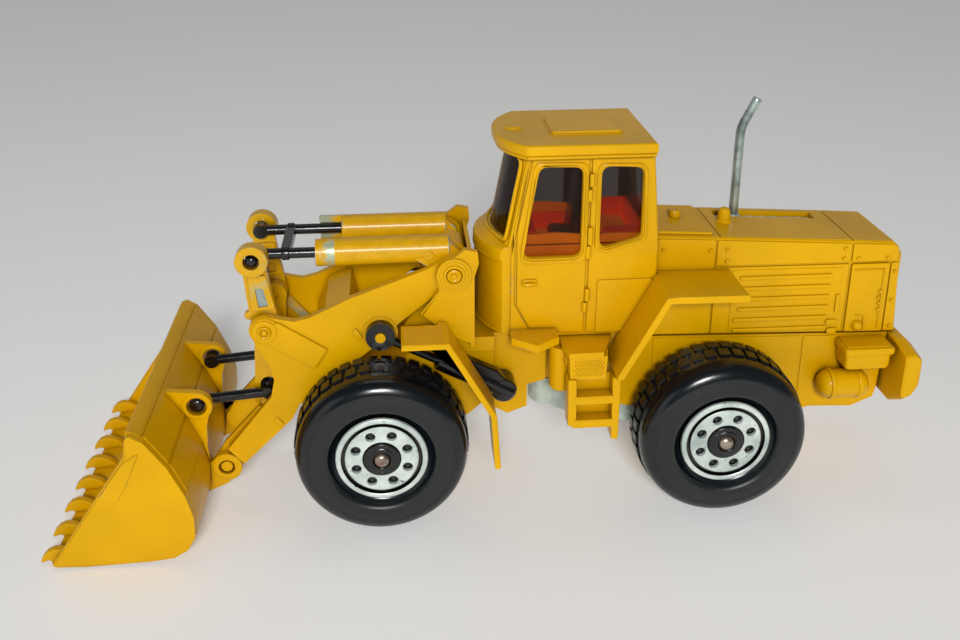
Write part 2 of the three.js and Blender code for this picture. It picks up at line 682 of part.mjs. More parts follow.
function cabInterior() {
  const floor = CAB.floor + 1.5;
  return union([
    box(-34.0, -9.2, -8.4, 8.4, floor, 51.6),
    box(-32.6, -27.4, -8.0, 8.0, 51.5, 60.6),
    box(-24.6, -17.4, -3.6, 3.6, 51.5, 55.6),
    sidePlate([[-24.6, 55.0], [-22.6, 55.0], [-24.0, 64.0], [-25.6, 64.0]], -3.4, 3.4),
    sidePlate([[-12.6, 51.5], [-9.4, 51.5], [-11.0, 58.0], [-12.6, 58.0]], -6.5, 6.5),
  ]);
}

// ---- hood and fittings ----
const HOOD = { front: -35.9, rear: -84.2 };

const SLOT = { y0: -6.4, y1: -3.3, z: 50.2 };
const EXHAUST_Y = -4.9;

function hood() {
  const body = sidePlate([
    [HOOD.front, 32.4 + HOOD_SEAM], [-85.7, 31.07 + HOOD_SEAM], [-84.3, 49.5], [-83.2, 50.6],
    [-74.4, 51.2], [HOOD.front, 53.5],
  ], -HOOD_HALF, HOOD_HALF);
  const parts = [body];
  for (const side of [-1, 1]) {
    const flat = (x0, x1, z0, z1, t) => box(x0, x1, Math.min(side * (HOOD_HALF - 0.1), side * (HOOD_HALF + t)),
      Math.max(side * (HOOD_HALF - 0.1), side * (HOOD_HALF + t)), z0, z1);
    for (let i = 0; i < 6; i += 1) {
      parts.push(flat(-71.0, -51.6, 33.9 + 2.1 * i, 34.8 + 2.1 * i, 0.3));
    }
    parts.push(flat(-82.4, -75.4, 32.4, 46.2, 0.35));
    parts.push(rodY([-77.0, 33.2], 0.9, Math.min(side * HOOD_HALF, side * (HOOD_HALF + 0.9)), Math.max(side * HOOD_HALF, side * (HOOD_HALF + 0.9)), 16));
  }
  parts.push(rodZ([-41.7, -0.9], 1.15, 52.8, 55.0, ROUND));
  parts.push(rodZ([-51.7, -0.5], 1.25, 52.0, 55.5, ROUND));
  parts.push(sidePlate([[-36.3, 53.0], [-47.0, 52.3], [-47.0, 53.2], [-36.3, 53.9]], -7.6, 7.6));
  return cut(union(parts), [box(-71.6, -50.8, SLOT.y0, SLOT.y1, SLOT.z, 60)]);
}

function engineTop() {
  const ribs = [];
  for (let i = 0; i < 7; i += 1) {
    ribs.push(box(-70.4 + 2.6 * i, -69.0 + 2.6 * i, SLOT.y0 + 0.4, SLOT.y1 - 0.4, 50.9, 51.4));
  }
  const plate = box(-71.4, -51.0, SLOT.y0 + 0.2, SLOT.y1 - 0.2, SLOT.z, 51.0);
  return cut(union([plate, ...ribs]), [rodZ([-55.1, EXHAUST_Y], 1.0, 40, 60, 16)]);
}

const PIPE = { sides: 10, steps: 10, radius: 0.92 };

function exhaustPipe() {
  const points = [[-55.1, 50.4], [-55.15, 69.8], [-55.5, 71.5], [-58.0, 76.5]];
  const ring = new THREE.Shape(Array.from({ length: PIPE.sides }, (unused, i) => {
    const a = (i * 2 * Math.PI) / PIPE.sides;
    return new THREE.Vector2(PIPE.radius * Math.cos(a), PIPE.radius * Math.sin(a));
  }));
  const curve = new THREE.CatmullRomCurve3(points.map(([x, z]) => new THREE.Vector3(x, EXHAUST_Y, z)), false, 'catmullrom', 0.1);
  return new THREE.ExtrudeGeometry(ring, { steps: PIPE.steps, extrudePath: curve });
}

function counterweight() {
  const section = [
    [-9.0, 31.0], [-17.0, 29.8], [-17.0, 21.4], [-9.0, 17.2], [9.0, 17.2], [17.0, 21.4], [17.0, 29.8], [9.0, 31.0],
  ];
  const block = toSolid(crossPlate(section, -88.0, -84.3));
  const trim = sidePlate([[-84.2, 31.7], [-84.3, 10.0], [-86.0, 10.0], [-88.1, 23.4], [-88.1, 28.9], [-86.4, 31.7]], -20, 20);
  return block.intersect(toSolid(trim));
}

function batteryBox() {
  return union([
    box(-83.0, -73.9, HOOD_HALF, 13.7, 25.5, 29.9),
    box(-83.4, -73.5, HOOD_HALF, 14.2, 29.7, 30.7),
  ]);
}

function airTank() {
  const [y, z, r] = [11.4, 21.7, 2.9];
  const x0 = -79.9;
  const x1 = -69.6;
  const profile = [[0, x0], [1.7, x0 + 0.35], [r - 0.3, x0 + 1.4], [r, x0 + 2.4], [r, x1 - 2.4], [r - 0.3, x1 - 1.4], [1.7, x1 - 0.35], [0, x1]];
  const points = profile.map(([radius, x]) => new THREE.Vector2(radius, x));
  const tank = new THREE.LatheGeometry(points, 20).rotateZ(-Math.PI / 2).translate(0, y, z);
  const bands = [-77.5, -72.7].map((x) => rodX([y, z], r + 0.2, x, x + 0.7, 20));
  return cut(union([tank, ...bands, box(-76.4, -71.8, HOOD_HALF, y, z - 1.2, z + 1.2)]), [box(-90, -60, 0, HOOD_HALF, 10, 40)]);
}

function rearFender() {
  const outer = 21.3;
  const top = sidePlate([[-35.9, 45.6], [-50.3, 45.4], [-50.3, 46.5], [-35.9, 46.7]], HOOD_HALF, outer);
  const skin = sidePlate([
    [-37.0, 45.6], [-37.0, 46.7], [-35.2, 46.7], [-26.5, 30.5], [-27.7, 30.5], [-35.8, 45.6],
  ], CAB_HALF, outer);
  return union([top, skin]);
}

function steps() {
  return union([
    planPlate([[-17.4, CAB_HALF - 0.9], [-27.6, CAB_HALF - 0.9], [-27.6, 10.3], [-24.6, 17.8], [-18.2, 17.8], [-17.4, 14.0]], 33.2, 34.2),
    box(-26.0, -18.0, HOOD_HALF, CAB_HALF + 4.6, 30.4, 33.4),
    box(-25.2, -18.4, 14.6, 17.7, 28.5, 33.4),
    box(-19.6, -18.4, 14.6, 18.2, 18.4, 33.4),
    box(-28.3, -18.4, 14.6, 15.4, 18.4, 28.6),
    box(-28.3, -27.0, 14.6, 18.2, 14.6, 28.4),
    box(-27.2, -19.2, 14.6, 18.2, 23.8, 25.3),
    box(-27.2, -19.2, 14.6, 18.2, 18.5, 20.0),
  ]);
}

function doorPlatform() {
  return union([
    planPlate([[-7.5, CAB_HALF], [-16.6, CAB_HALF], [-16.6, 14.8], [-12.0, 17.9], [-7.5, 14.6]], 34.9, 36.3),
    planPlate([[-7.9, CAB_HALF], [-16.2, CAB_HALF], [-16.2, 14.2], [-12.0, 17.2], [-7.9, 14.0]], 34.3, 35.0),
  ]);
}

// ---- assembly ----
function addRearFrame() {
  add('rear_chassis', rearChassis(), paint);
  add('base_plate', basePlate(), zinc);
  add('steering_pin', steeringPin(), steel);
  add('cab_shell', cabShell(), paint);
  add('cab_roof', cabRoof(), paint);
  add('cab_glazing', cabGlazing(), smokedGlazing);
  add('cab_interior', cabInterior(), redPlastic);
  add('engine_hood', hood(), paint);
  add('engine_top', engineTop(), zinc);
  add('exhaust_pipe', exhaustPipe(), zinc);
  add('counterweight', counterweight(), paint);
  addPair('battery_box', batteryBox(), paint);
  addPair('air_tank', airTank(), paint);
  addPair('rear_fender', rearFender(), paint);
  addPair('ladder', steps(), paint);
  addPair('door_platform', doorPlatform(), paint);
  add('rear_axle', axle(WHEEL.rearX), steel);
}

function addFrontFrame() {
  add('front_frame', frontFrame(), paint);
  add('front_axle', axle(WHEEL.frontX), steel);
  add('boom_pin', boomPin(), steel);
  addPair('front_fender', frontFender(), paint);
}

function addLoader() {
  addPair('boom_plate', boomPlate(), paint);
  add('boom_web', boomCrossTube(), paint);
  addPair('crank_rivet', crankRivet(), steel);
  addPair('bell_crank', bellCrank(), paint);
  add('tilt_rods', tiltRods(), blackPlastic);
  add('lower_link', lowerLink(), blackPlastic);
  addPair('tilt_barrel', tiltBarrel(), paint);
  addPair('lift_barrel', liftBarrel(), blackPlastic);
  addPair('lift_rod', liftRod(), blackPlastic);
  add('bucket_shell', bucketShell(), paint);
  add('bucket_teeth', bucketTeeth(), paint);
  addPair('bucket_side', bucketSide(), paint);
  addPair('bucket_ear', bucketEar(), paint);
}

addRearFrame();
addFrontFrame();
addLoader();
addWheels();

export default model;
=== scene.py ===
import math

import bmesh
import bpy
from mathutils import Matrix, Vector
from mathutils.geometry import tessellate_polygon


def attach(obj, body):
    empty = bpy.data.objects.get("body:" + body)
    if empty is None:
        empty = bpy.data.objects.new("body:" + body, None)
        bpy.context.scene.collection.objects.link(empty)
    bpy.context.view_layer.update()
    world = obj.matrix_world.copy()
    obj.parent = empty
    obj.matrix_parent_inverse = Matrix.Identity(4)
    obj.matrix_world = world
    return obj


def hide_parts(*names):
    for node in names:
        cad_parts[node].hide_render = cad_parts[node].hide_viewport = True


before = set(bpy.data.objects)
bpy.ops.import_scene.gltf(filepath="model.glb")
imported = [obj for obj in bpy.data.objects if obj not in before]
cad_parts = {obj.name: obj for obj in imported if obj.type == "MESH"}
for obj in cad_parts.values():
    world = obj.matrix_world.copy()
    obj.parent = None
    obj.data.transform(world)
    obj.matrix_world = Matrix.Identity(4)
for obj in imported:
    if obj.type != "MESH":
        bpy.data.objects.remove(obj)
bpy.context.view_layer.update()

# Working units: millimetres, x forward from the working origin, z up from the floor.
SHIFT = 4.05
TO_FRAME = Matrix.Scale(0.001, 4) @ Matrix.Translation((SHIFT, 0, 0))
FROM_FRAME = TO_FRAME.inverted()

PIVOT = {
    "boom": (3.0, 48.8), "crank": (38.6, 37.9), "crank_top": (40.2, 51.7), "crank_low": (39.2, 23.4),
    "link": (52.7, 22.2), "bucket": (48.1, 8.3), "lift": (17.0, 36.6), "lift_base": (-6.4, 24.2),
}


# ---------------------------------------------------------------- materials
class Nodes:
    """A thin layer over a material's node tree."""

    def __init__(self, name):
        self.mat = bpy.data.materials.new(name)
        self.mat.use_nodes = True
        self.tree = self.mat.node_tree
        self.shader = self.tree.nodes["Principled BSDF"]
        self.coords = self.add("ShaderNodeTexCoord").outputs["Object"]

    def add(self, kind, **values):
        node = self.tree.nodes.new(kind)
        for key, value in values.items():
            if key in node.inputs:
                node.inputs[key].default_value = value
            else:
                setattr(node, key, value)
        return node

    def link(self, a, b):
        self.tree.links.new(a, b)

    def noise(self, scale, detail=4.0, rough=0.55, distortion=0.0):
        node = self.add("ShaderNodeTexNoise", Scale=scale, Detail=detail, Roughness=rough, Distortion=distortion)
        self.link(self.coords, node.inputs["Vector"])
        return node.outputs["Fac"]

    def ramp(self, fac, stops):
        node = self.add("ShaderNodeValToRGB")
        ramp = node.color_ramp
        while len(ramp.elements) < len(stops):
            ramp.elements.new(0.5)
        for element, (place, colour) in zip(ramp.elements, stops):
            element.position = place
            element.color = colour if len(colour) == 4 else (*colour, 1)
        self.link(fac, node.inputs["Fac"])
        return node.outputs["Color"]

    def level(self, fac, low, high):
        return self.ramp(fac, [(low, (0, 0, 0)), (high, (1, 1, 1))])

    def math(self, kind, a, b):
        node = self.add("ShaderNodeMath", operation=kind)
        for socket, value in zip(node.inputs, (a, b)):
            if isinstance(value, (int, float)):
                socket.default_value = value
            else:
                self.link(value, socket)
        return node.outputs[0]

    def blend(self, base, fac, gain):
        """base + gain * fac"""
        return self.math("ADD", self.math("MULTIPLY", fac, gain), base)

    def mix(self, fac, a, b):
        node = self.add("ShaderNodeMix", data_type="RGBA")
        self.link(fac, node.inputs[0])
        for socket, value in ((node.inputs[6], a), (node.inputs[7], b)):
            if hasattr(value, "is_output"):
                self.link(value, socket)
            else:
                socket.default_value = (*value, 1)
        return node.outputs[2]

    def bump(self, height, strength, distance, normal=None):
        node = self.add("ShaderNodeBump", Strength=strength, Distance=distance)
        self.link(height, node.inputs["Height"])
        if normal is not None:
            self.link(normal, node.inputs["Normal"])
        return node.outputs["Normal"]

    def face_mark(self, name):
        return self.add("ShaderNodeAttribute", attribute_name=name).outputs["Fac"]

    def set(self, **values):
        for key, value in values.items():
            socket = self.shader.inputs[key.replace("_", " ")]
            if hasattr(value, "is_output"):
                self.link(value, socket)
            else:
                socket.default_value = value

    def done(self, **values):
        self.set(**values)
        return self.mat


def rgb(r, g, b):
    """sRGB 0-255 to linear."""
    return tuple(((c / 255 + 0.055) / 1.055) ** 2.4 if c > 10 else c / 255 / 12.92 for c in (r, g, b))


def painted_crevice_shade(n, colour, dark, reach, strength, shut=0.25, free=0.92):
    """Painted shade: darkens a colour where surfaces meet, as in seams and corners."""
    shade = n.add("ShaderNodeAmbientOcclusion", samples=6, only_local=False)
    shade.inputs["Distance"].default_value = reach
    open_air = n.level(shade.outputs["AO"], shut, free)
    return n.mix(n.math("MULTIPLY", n.math("SUBTRACT", 1.0, open_air), strength), colour, dark)


def painted_enamel_shade(n, colour, seams):
    """Painted shade on yellow enamel: brown, soft and wide under overhangs and sharp in the seams."""
    colour = painted_crevice_shade(n, colour, rgb(92, 50, 0), 0.014, 0.42, 0.05, 0.7)
    return painted_crevice_shade(n, colour, rgb(88, 46, 0), 0.0011, seams)


def paint_material(name, wear, colour=(230, 174, 0)):
    """Thick gloss enamel over grey die-cast zinc. wear is how much metal shows on edges."""
    n = Nodes(name)
    base = rgb(*colour)
    deep = tuple(c * 0.90 for c in base)
    light = tuple(min(1, c * 1.04) for c in base)
    tint = n.mix(n.level(n.noise(60, 3), 0.35, 0.68), deep, light)
    speck = n.level(n.noise(2100, 2, 0.7), 0.74, 0.77)
    tint = n.mix(n.math("MULTIPLY", speck, 0.4), tint, rgb(110, 70, 8))
    # painted shade: the enamel turns brown under overhangs and in the seams
    tint = painted_enamel_shade(n, tint, 0.55)
    edge = n.face_mark("edge")
    chips = n.level(n.noise(420, 5, 0.7), 0.68 - 0.14 * wear, 0.72 - 0.14 * wear)
    bare = n.math("MULTIPLY", edge, chips)
    n.set(Base_Color=n.mix(bare, tint, rgb(150, 150, 118)), Metallic=n.math("MULTIPLY", bare, 0.4))
    gloss = n.level(n.noise(160, 4), 0.2, 0.9)
    n.set(Roughness=n.blend(0.3, gloss, 0.10))
    peel = n.bump(n.noise(620, 3, 0.6), 0.30, 0.00010)
    grain = n.bump(n.noise(2400, 2, 0.5), 0.14, 0.00005, peel)
    return n.done(Normal=n.bump(bare, 0.4, -0.00006, grain), Coat_Weight=0.11, Coat_Roughness=0.1,
        Specular_IOR_Level=0.12)


def worn_paint_material(name):
    """The same enamel where it has rubbed thin, with soft patches of bare zinc."""
    n = Nodes(name)
    base = rgb(226, 172, 2)
    thin = n.mix(n.level(n.noise(260, 4), 0.35, 0.7), tuple(c * 0.86 for c in base), base)
    # painted shade: the enamel turns brown under overhangs and in the seams
    thin = painted_enamel_shade(n, thin, 0.62)
    patch = n.level(n.noise(210, 4, 0.6, 0.3), 0.50, 0.68)
    scratch = n.level(n.noise(900, 3, 0.6, 1.5), 0.56, 0.66)
    rubbed = n.math("MULTIPLY", n.face_mark("rub"), patch)
    chipped = n.math("MULTIPLY", n.face_mark("edge"), scratch)
    bare = n.math("MAXIMUM", rubbed, chipped)
    return n.done(Base_Color=n.mix(bare, thin, rgb(176, 182, 140)), Metallic=n.math("MULTIPLY", bare, 0.35),
        Roughness=n.blend(0.22, n.noise(300, 3), 0.2), Normal=n.bump(bare, 0.4, -0.00006,
        n.bump(n.noise(900, 3), 0.45, 0.00012)), Coat_Weight=0.25, Coat_Roughness=0.15, Specular_IOR_Level=0.22)


def cast_barrel_material(name):
    """Enamel over the coarse sand-cast skin of the tilt barrels, rubbed to metal at the front."""
    n = Nodes(name)
    base = rgb(230, 174, 2)
    body = n.mix(n.level(n.noise(500, 4), 0.35, 0.7), tuple(c * 0.86 for c in base), base)
    patch = n.math("MULTIPLY", n.face_mark("rub"), n.level(n.noise(170, 4, 0.6), 0.47, 0.56))
    edge = n.math("MULTIPLY", n.face_mark("edge"), n.level(n.noise(500, 3), 0.5, 0.6))
    bare = n.math("MAXIMUM", patch, edge)
    return n.done(Base_Color=n.mix(bare, body, rgb(186, 196, 168)), Metallic=n.math("MULTIPLY", bare, 0.4),
        Roughness=n.blend(0.24, n.noise(700, 3), 0.16), Normal=n.bump(n.noise(1500, 4, 0.65), 0.75, 0.00016),
        Coat_Weight=0.25, Coat_Roughness=0.14, Specular_IOR_Level=0.2)


def black_plastic_material(name, dust=0.0):
    n = Nodes(name)
    smear = n.level(n.noise(240, 5, 0.7), 0.45, 0.8)
    body = n.mix(n.math("MULTIPLY", smear, 0.5), rgb(5, 5, 6), rgb(20, 19, 18))
    dirt = n.level(n.noise(2600, 3, 0.7), 0.66, 0.72)
    body = n.mix(n.math("MULTIPLY", dirt, dust), body, rgb(150, 146, 135))
    return n.done(Base_Color=body, Roughness=n.blend(0.12, n.noise(500, 4), 0.22),
        Normal=n.bump(n.noise(900, 4, 0.7), 0.35, 0.00006), Specular_IOR_Level=0.6)


def rubber_material(name, low, high, rough):
    n = Nodes(name)
    cloud = n.level(n.noise(70, 5, 0.6), 0.3, 0.75)
    body = n.mix(cloud, low, high)
    dust = n.level(n.noise(2300, 2, 0.6), 0.73, 0.78)
    body = n.mix(n.math("MULTIPLY", dust, 0.45), body, rgb(150, 150, 146))
    return n.done(Base_Color=body, Roughness=n.blend(rough, n.noise(120, 4), 0.16),
        Normal=n.bump(n.noise(3200, 3, 0.6), 0.18, 0.00003, n.bump(n.noise(180, 3), 0.15, 0.0001)),
        Specular_IOR_Level=0.5)


def rim_material(name):
    """Silver-white hot-stamped faces with small flakes missing."""
    n = Nodes(name)
    flake = n.level(n.noise(800, 6, 0.75, 0.8), 0.625, 0.645)
    tone = n.mix(n.level(n.noise(200, 4), 0.3, 0.7), rgb(172, 186, 180), rgb(236, 246, 238))
    return n.done(Base_Color=n.mix(flake, tone, rgb(24, 28, 32)), Metallic=0.25,
        Roughness=n.blend(0.22, n.noise(700, 4), 0.25), Normal=n.bump(flake, 0.5, -0.00005,
        n.bump(n.noise(800, 3), 0.25, 0.00005)))


def metal_material(name, low, high, rough, metallic=0.85):
    n = Nodes(name)
    tone = n.mix(n.level(n.noise(260, 5, 0.6, 0.4), 0.28, 0.62), low, high)
    return n.done(Base_Color=tone, Metallic=metallic, Roughness=n.blend(rough, n.noise(800, 5), 0.3),
        Normal=n.bump(n.noise(1300, 4, 0.7), 0.4, 0.00006))


# Interior plastic that glows by its own emission: painted light that stands in for light reaching the cab's inside.
def glowing_interior_material(name, low, high):
    n = Nodes(name)
    tone = n.mix(n.level(n.noise(150, 3), 0.3, 0.7), low, high)
    return n.done(Base_Color=tone, Roughness=n.blend(0.28, n.noise(500, 3), 0.2),
        Normal=n.bump(n.noise(1100, 3), 0.3, 0.00006), Emission_Color=tone, Emission_Strength=0.5,
        Specular_IOR_Level=0.15)


def glazing_material(name):
    """Smoked brown clear plastic, thinly scratched."""
    n = Nodes(name)
    scratch = n.level(n.noise(900, 5, 0.75, 2.5), 0.67, 0.70)
    tone = n.mix(n.noise(120, 3), rgb(20, 7, 0), rgb(34, 12, 1))
    return n.done(Base_Color=n.mix(n.math("MULTIPLY", scratch, 0.5), tone, rgb(190, 170, 140)),
        Roughness=n.blend(0.07, scratch, 0.3), Alpha=n.blend(0.52, scratch, 0.25),
        Normal=n.bump(n.noise(260, 2), 0.08, 0.00005), Specular_IOR_Level=0.2)


PAINT = paint_material("yellow_enamel", 0.1)
PAINT_WORN = paint_material("yellow_enamel_worn", 0.85, (230, 174, 2))
RUBBED = worn_paint_material("yellow_enamel_rubbed")
BARREL = cast_barrel_material("yellow_enamel_cast")
BLACK = black_plastic_material("black_plastic")
BLACK_DUSTY = black_plastic_material("black_plastic_dusty", 0.8)
TREAD = rubber_material("tread_rubber", rgb(9, 10, 11), rgb(22, 23, 24), 0.22)
SIDEWALL = rubber_material("sidewall_rubber", rgb(17, 21, 19), rgb(28, 33, 30), 0.3)
# Glossy rubber of the tyre's shoulder and bead. Its gloss comes from low roughness, and its blue cast is a painted
# reflection.
SHOULDER_SHEEN = rubber_material("shoulder_rubber_painted_sheen", rgb(9, 14, 18), rgb(18, 25, 30), 0.12)
RIM = rim_material("rim_silver")
ZINC = metal_material("bare_zinc", rgb(158, 172, 166), rgb(208, 222, 210), 0.26, 0.35)
PIPE_METAL = metal_material("pipe_zinc", rgb(96, 108, 106), rgb(176, 190, 184), 0.18, 0.6)
STEEL = metal_material("axle_steel", rgb(120, 84, 66), rgb(196, 186, 172), 0.16)
# These interior materials glow faintly: painted light inside the cab.
INTERIOR = glowing_interior_material("red_interior", rgb(232, 46, 0), rgb(246, 68, 2))
ORANGE = glowing_interior_material("orange_interior", rgb(214, 104, 2), rgb(232, 124, 6))
TUB = glowing_interior_material("tub_orange", rgb(226, 104, 0), rgb(246, 124, 0))
# A darker copy of the tub orange: painted shade for the strip low in the side windows.
TUB_SHADED = glowing_interior_material("tub_orange_painted_shade", rgb(120, 52, 0), rgb(142, 64, 0))
GLAZING = glazing_material("smoked_glazing")


# ---------------------------------------------------------------- mesh tools
def offset_outline(points, distance):
    """Moves a closed outline (anticlockwise) inwards by distance."""
    out = []
    count = len(points)
    for i, here in enumerate(points):
        before, after = Vector(points[i - 1]), Vector(points[(i + 1) % count])
        here = Vector(here)
        a = (here - before).normalized()
        b = (after - here).normalized()
        normal_a, normal_b = Vector((-a.y, a.x)), Vector((-b.y, b.x))
        middle = normal_a + normal_b
        scale = 2 / max(middle.length_squared, 0.5)
        out.append(tuple(here + middle * distance * scale))
    return out


def area(points):
    """Signed area, positive for an anticlockwise outline."""
    return 0.5 * sum(points[i - 1][0] * p[1] - p[0] * points[i - 1][1] for i, p in enumerate(points))


def fillet(points, radius, steps=3):
    """Rounds the corners of a closed outline. radius is one number, or one for each corner."""
    out = []
    count = len(points)
    for i, here in enumerate(points):
        r = radius[i] if isinstance(radius, (list, tuple)) else radius
        here = Vector(here)
        a, b = Vector(points[i - 1]) - here, Vector(points[(i + 1) % count]) - here
        room = 0.45 * min(a.length, b.length)
        angle = a.angle(b)
        if r <= 0 or angle > 3.0:
            out.append(tuple(here))
            continue
        cut = min(room, r / math.tan(angle / 2))
        start, end = here + a.normalized() * cut, here + b.normalized() * cut
        for k in range(steps + 1):
            t = k / steps
            out.append(tuple(start * (1 - t) ** 2 + here * 2 * t * (1 - t) + end * t * t))
    return out


def box(u0, u1, v0, v1):
    """The corners of a rectangle, in order round it."""
    return [(u0, v0), (u1, v0), (u1, v1), (u0, v1)]


def spindle(end, low, high):
    """A lathe profile with the same end, as (radius, depth) pairs, at low and at high."""
    return [(r, low + h) for r, h in end] + [(r, high - h) for r, h in reversed(end)]


def circle(centre, radius, steps=32):
    return [(centre[0] + radius * math.cos(2 * math.pi * k / steps),
        centre[1] + radius * math.sin(2 * math.pi * k / steps)) for k in range(steps)]


def arc(centre, radius, start, end, steps=12):
    out = []
    for k in range(steps + 1):
        a = math.radians(start + (end - start) * k / steps)
        out.append((centre[0] + radius * math.cos(a), centre[1] + radius * math.sin(a)))
    return out


PLANES = {
    "y": lambda u, v, w: (u, w, v),
    "z": lambda u, v, w: (u, v, w),
    "x": lambda u, v, w: (w, u, v),
}


class Piece:
    """Collects closed bodies, in working millimetres, into one visible piece."""

    def __init__(self):
        self.bm = bmesh.new()
        self.edge = self.bm.faces.layers.float.new("edge")
        self.rub = self.bm.faces.layers.float.new("rub")
        self.materials = []

    def index(self, material):
        if material not in self.materials:
            self.materials.append(material)
        return self.materials.index(material)

    def take(self, bm, material, rub=0.0):
        """Adds a body. material is one material, or a dictionary that gives each face its own."""
        edge = bm.faces.layers.float.get("edge")
        verts = {v: self.bm.verts.new(v.co) for v in bm.verts}
        for f in bm.faces:
            new = self.bm.faces.new([verts[v] for v in f.verts])
            new.material_index = self.index(material[f] if isinstance(material, dict) else material)
            new.smooth = True
            new[self.edge] = f[edge] if edge else 0.0
            new[self.rub] = rub
        bm.free()
        return self

    def solid(self, bm, material, rub=0.0):
        """Adds a closed body, with its faces turned outwards."""
        bmesh.ops.recalc_face_normals(bm, faces=bm.faces)
        return self.take(bm, material, rub)

    def slab(self, outline, plane, low, high, material, bevel=0.2, holes=(), steps=2, rub=0.0, ends=(True, True)):
        """An extruded outline with rounded rims. The outline is (x, z), (x, y) or (y, z) for plane y, z or x."""
        place = PLANES[plane]
        rings = [list(outline) if area(outline) > 0 else list(reversed(outline))]
        rings += [list(h) if area(h) < 0 else list(reversed(h)) for h in holes]
        bm = bmesh.new()
        edge = bm.faces.layers.float.new("edge")
        levels = []
        if ends[0]:
            for k in range(steps + 1):
                a = math.pi / 2 * k / steps
                levels.append((bevel * (1 - math.sin(a)), low + bevel * (1 - math.cos(a))))
        else:
            levels.append((0.0, low))
        if ends[1]:
            for k in range(steps, -1, -1):
                a = math.pi / 2 * k / steps
                levels.append((bevel * (1 - math.sin(a)), high - bevel * (1 - math.cos(a))))
        else:
            levels.append((0.0, high))
        caps = []
        for ring in rings:
            rows = []
            for inset, level in levels:
                flat = offset_outline(ring, inset) if inset > 1e-9 else ring
                rows.append([bm.verts.new(place(u, v, level)) for u, v in flat])
            for i in range(len(rows) - 1):
                a, b = rows[i], rows[i + 1]
                flat_row = abs(levels[i][0] - levels[i + 1][0]) < 1e-9
                for k in range(len(ring)):
                    j = (k + 1) % len(ring)
                    f = bm.faces.new((a[k], a[j], b[j], b[k]))
                    f[edge] = 0.0 if flat_row else 1.0
            caps.append((rows[0], rows[-1]))
        for which, flip in ((0, True), (1, False)):
            loops = [c[which] for c in caps]
            flat = [[Vector(self.flat(plane, v.co)) for v in loop] for loop in loops]
            every = [v for loop in loops for v in loop]
            for tri in tessellate_polygon(flat):
                corners = [every[t] for t in tri]
                if flip:
                    corners.reverse()
                try:
                    bm.faces.new(corners)
                except ValueError:
                    pass
        return self.solid(bm, material, rub)

    def plate(self, outline, side, inner, outer, material, bevel=0.2, **shape):
        """An (x, z) outline standing between two distances from the middle, on one side."""
        return self.slab(outline, "y", *span(side, inner, outer), material, bevel, **shape)

    @staticmethod
    def flat(plane, co):
        return {"y": (co.x, co.z, 0), "z": (co.x, co.y, 0), "x": (co.y, co.z, 0)}[plane]

    def block(self, x0, x1, y0, y1, z0, z1, material, bevel=0.2):
        corners = box(x0, x1, y0, y1)
        return self.slab(fillet(corners, bevel * 1.3, 2), "z", z0, z1, material, bevel)

    def lathe(self, profile, base, direction, material, steps=48, rub=0.0, closed=False, round_off=0.0):
        """Turns (radius, along) pairs about a line from base. material may be a function of the profile index."""
        if round_off:
            points = self.soften(profile, round_off, closed)
        else:
            points = [(r, h, 0.0, i) for i, (r, h) in enumerate(profile)]
        axis = Vector(direction).normalized()
        side = axis.orthogonal().normalized()
        other = axis.cross(side)
        base = Vector(base)
        bm = bmesh.new()
        edge = bm.faces.layers.float.new("edge")
        rows = []
        for r, h, _, _ in points:
            centre = base + axis * h
            if r < 1e-6:
                rows.append([bm.verts.new(centre)])
                continue
            rows.append([bm.verts.new(centre + (side * math.cos(a) + other * math.sin(a)) * r)
                for a in (2 * math.pi * k / steps for k in range(steps))])
        pairs = list(range(len(rows) - 1)) + ([len(rows) - 1] if closed else [])
        groups = []
        for i in pairs:
            a, b = rows[i], rows[(i + 1) % len(rows)]
            for k in range(steps):
                j = (k + 1) % steps
                if len(a) == 1 and len(b) == 1:
                    continue
                if len(a) == 1:
                    f = bm.faces.new((a[0], b[k], b[j]))
                elif len(b) == 1:
                    f = bm.faces.new((a[k], b[0], a[j]))
                else:
                    f = bm.faces.new((a[k], b[k], b[j], a[j]))
                f[edge] = 1.0 if points[i][2] and points[(i + 1) % len(points)][2] else 0.0
                groups.append((f, points[i][3]))
        if not closed:
            for row in (rows[0], rows[-1]):
                if len(row) > 1:
                    f = bm.faces.new(row)
                    groups.append((f, -1))
        chosen = {f: (material(i) if callable(material) else material) for f, i in groups}
        return self.solid(bm, chosen, rub)

    @staticmethod
    def soften(profile, radius, closed):
        """Rounds a lathe profile's corners; keeps the index of the span that each point starts."""
        out = []
        count = len(profile)
        for i, here in enumerate(profile):
            if not closed and i in (0, count - 1):
                out.append((*here, 0.0, i))
                continue
            h = Vector(here)
            a, b = Vector(profile[i - 1]) - h, Vector(profile[(i + 1) % count]) - h
            if a.length < 1e-6 or b.length < 1e-6 or a.angle(b) > 2.9 or here[0] < 1e-6:
                out.append((*here, 0.0, i))
                continue
            cut = min(radius, 0.45 * a.length, 0.45 * b.length)
            start, end = h + a.normalized() * cut, h + b.normalized() * cut
            for k in range(4):
                t = k / 3
                p = start * (1 - t) ** 2 + h * 2 * t * (1 - t) + end * t * t
                out.append((p.x, p.y, 1.0, i if t > 0.5 else i - 1 if i else 0))
        return out

    def rod(self, a, b, radius, material, bevel=0.2, steps=32, rub=0.0):
        a, b = Vector(a), Vector(b)
        length = (b - a).length
        profile = box(0, radius, 0, length)
        return self.lathe(profile, a, b - a, material, steps, rub, round_off=bevel)

    def rod_y(self, centre, radius, y0, y1, material, bevel=0.2, steps=36, rub=0.0):
        return self.rod((centre[0], y0, centre[1]), (centre[0], y1, centre[1]), radius, material, bevel, steps, rub)

    def ball(self, centre, radius, material, squash):
        bm = bmesh.new()
        bmesh.ops.create_uvsphere(bm, u_segments=24, v_segments=12, radius=radius)
        for v in bm.verts:
            v.co = Vector((v.co.x * squash[0], v.co.y * squash[1], v.co.z * squash[2])) + Vector(centre)
        return self.take(bm, material)

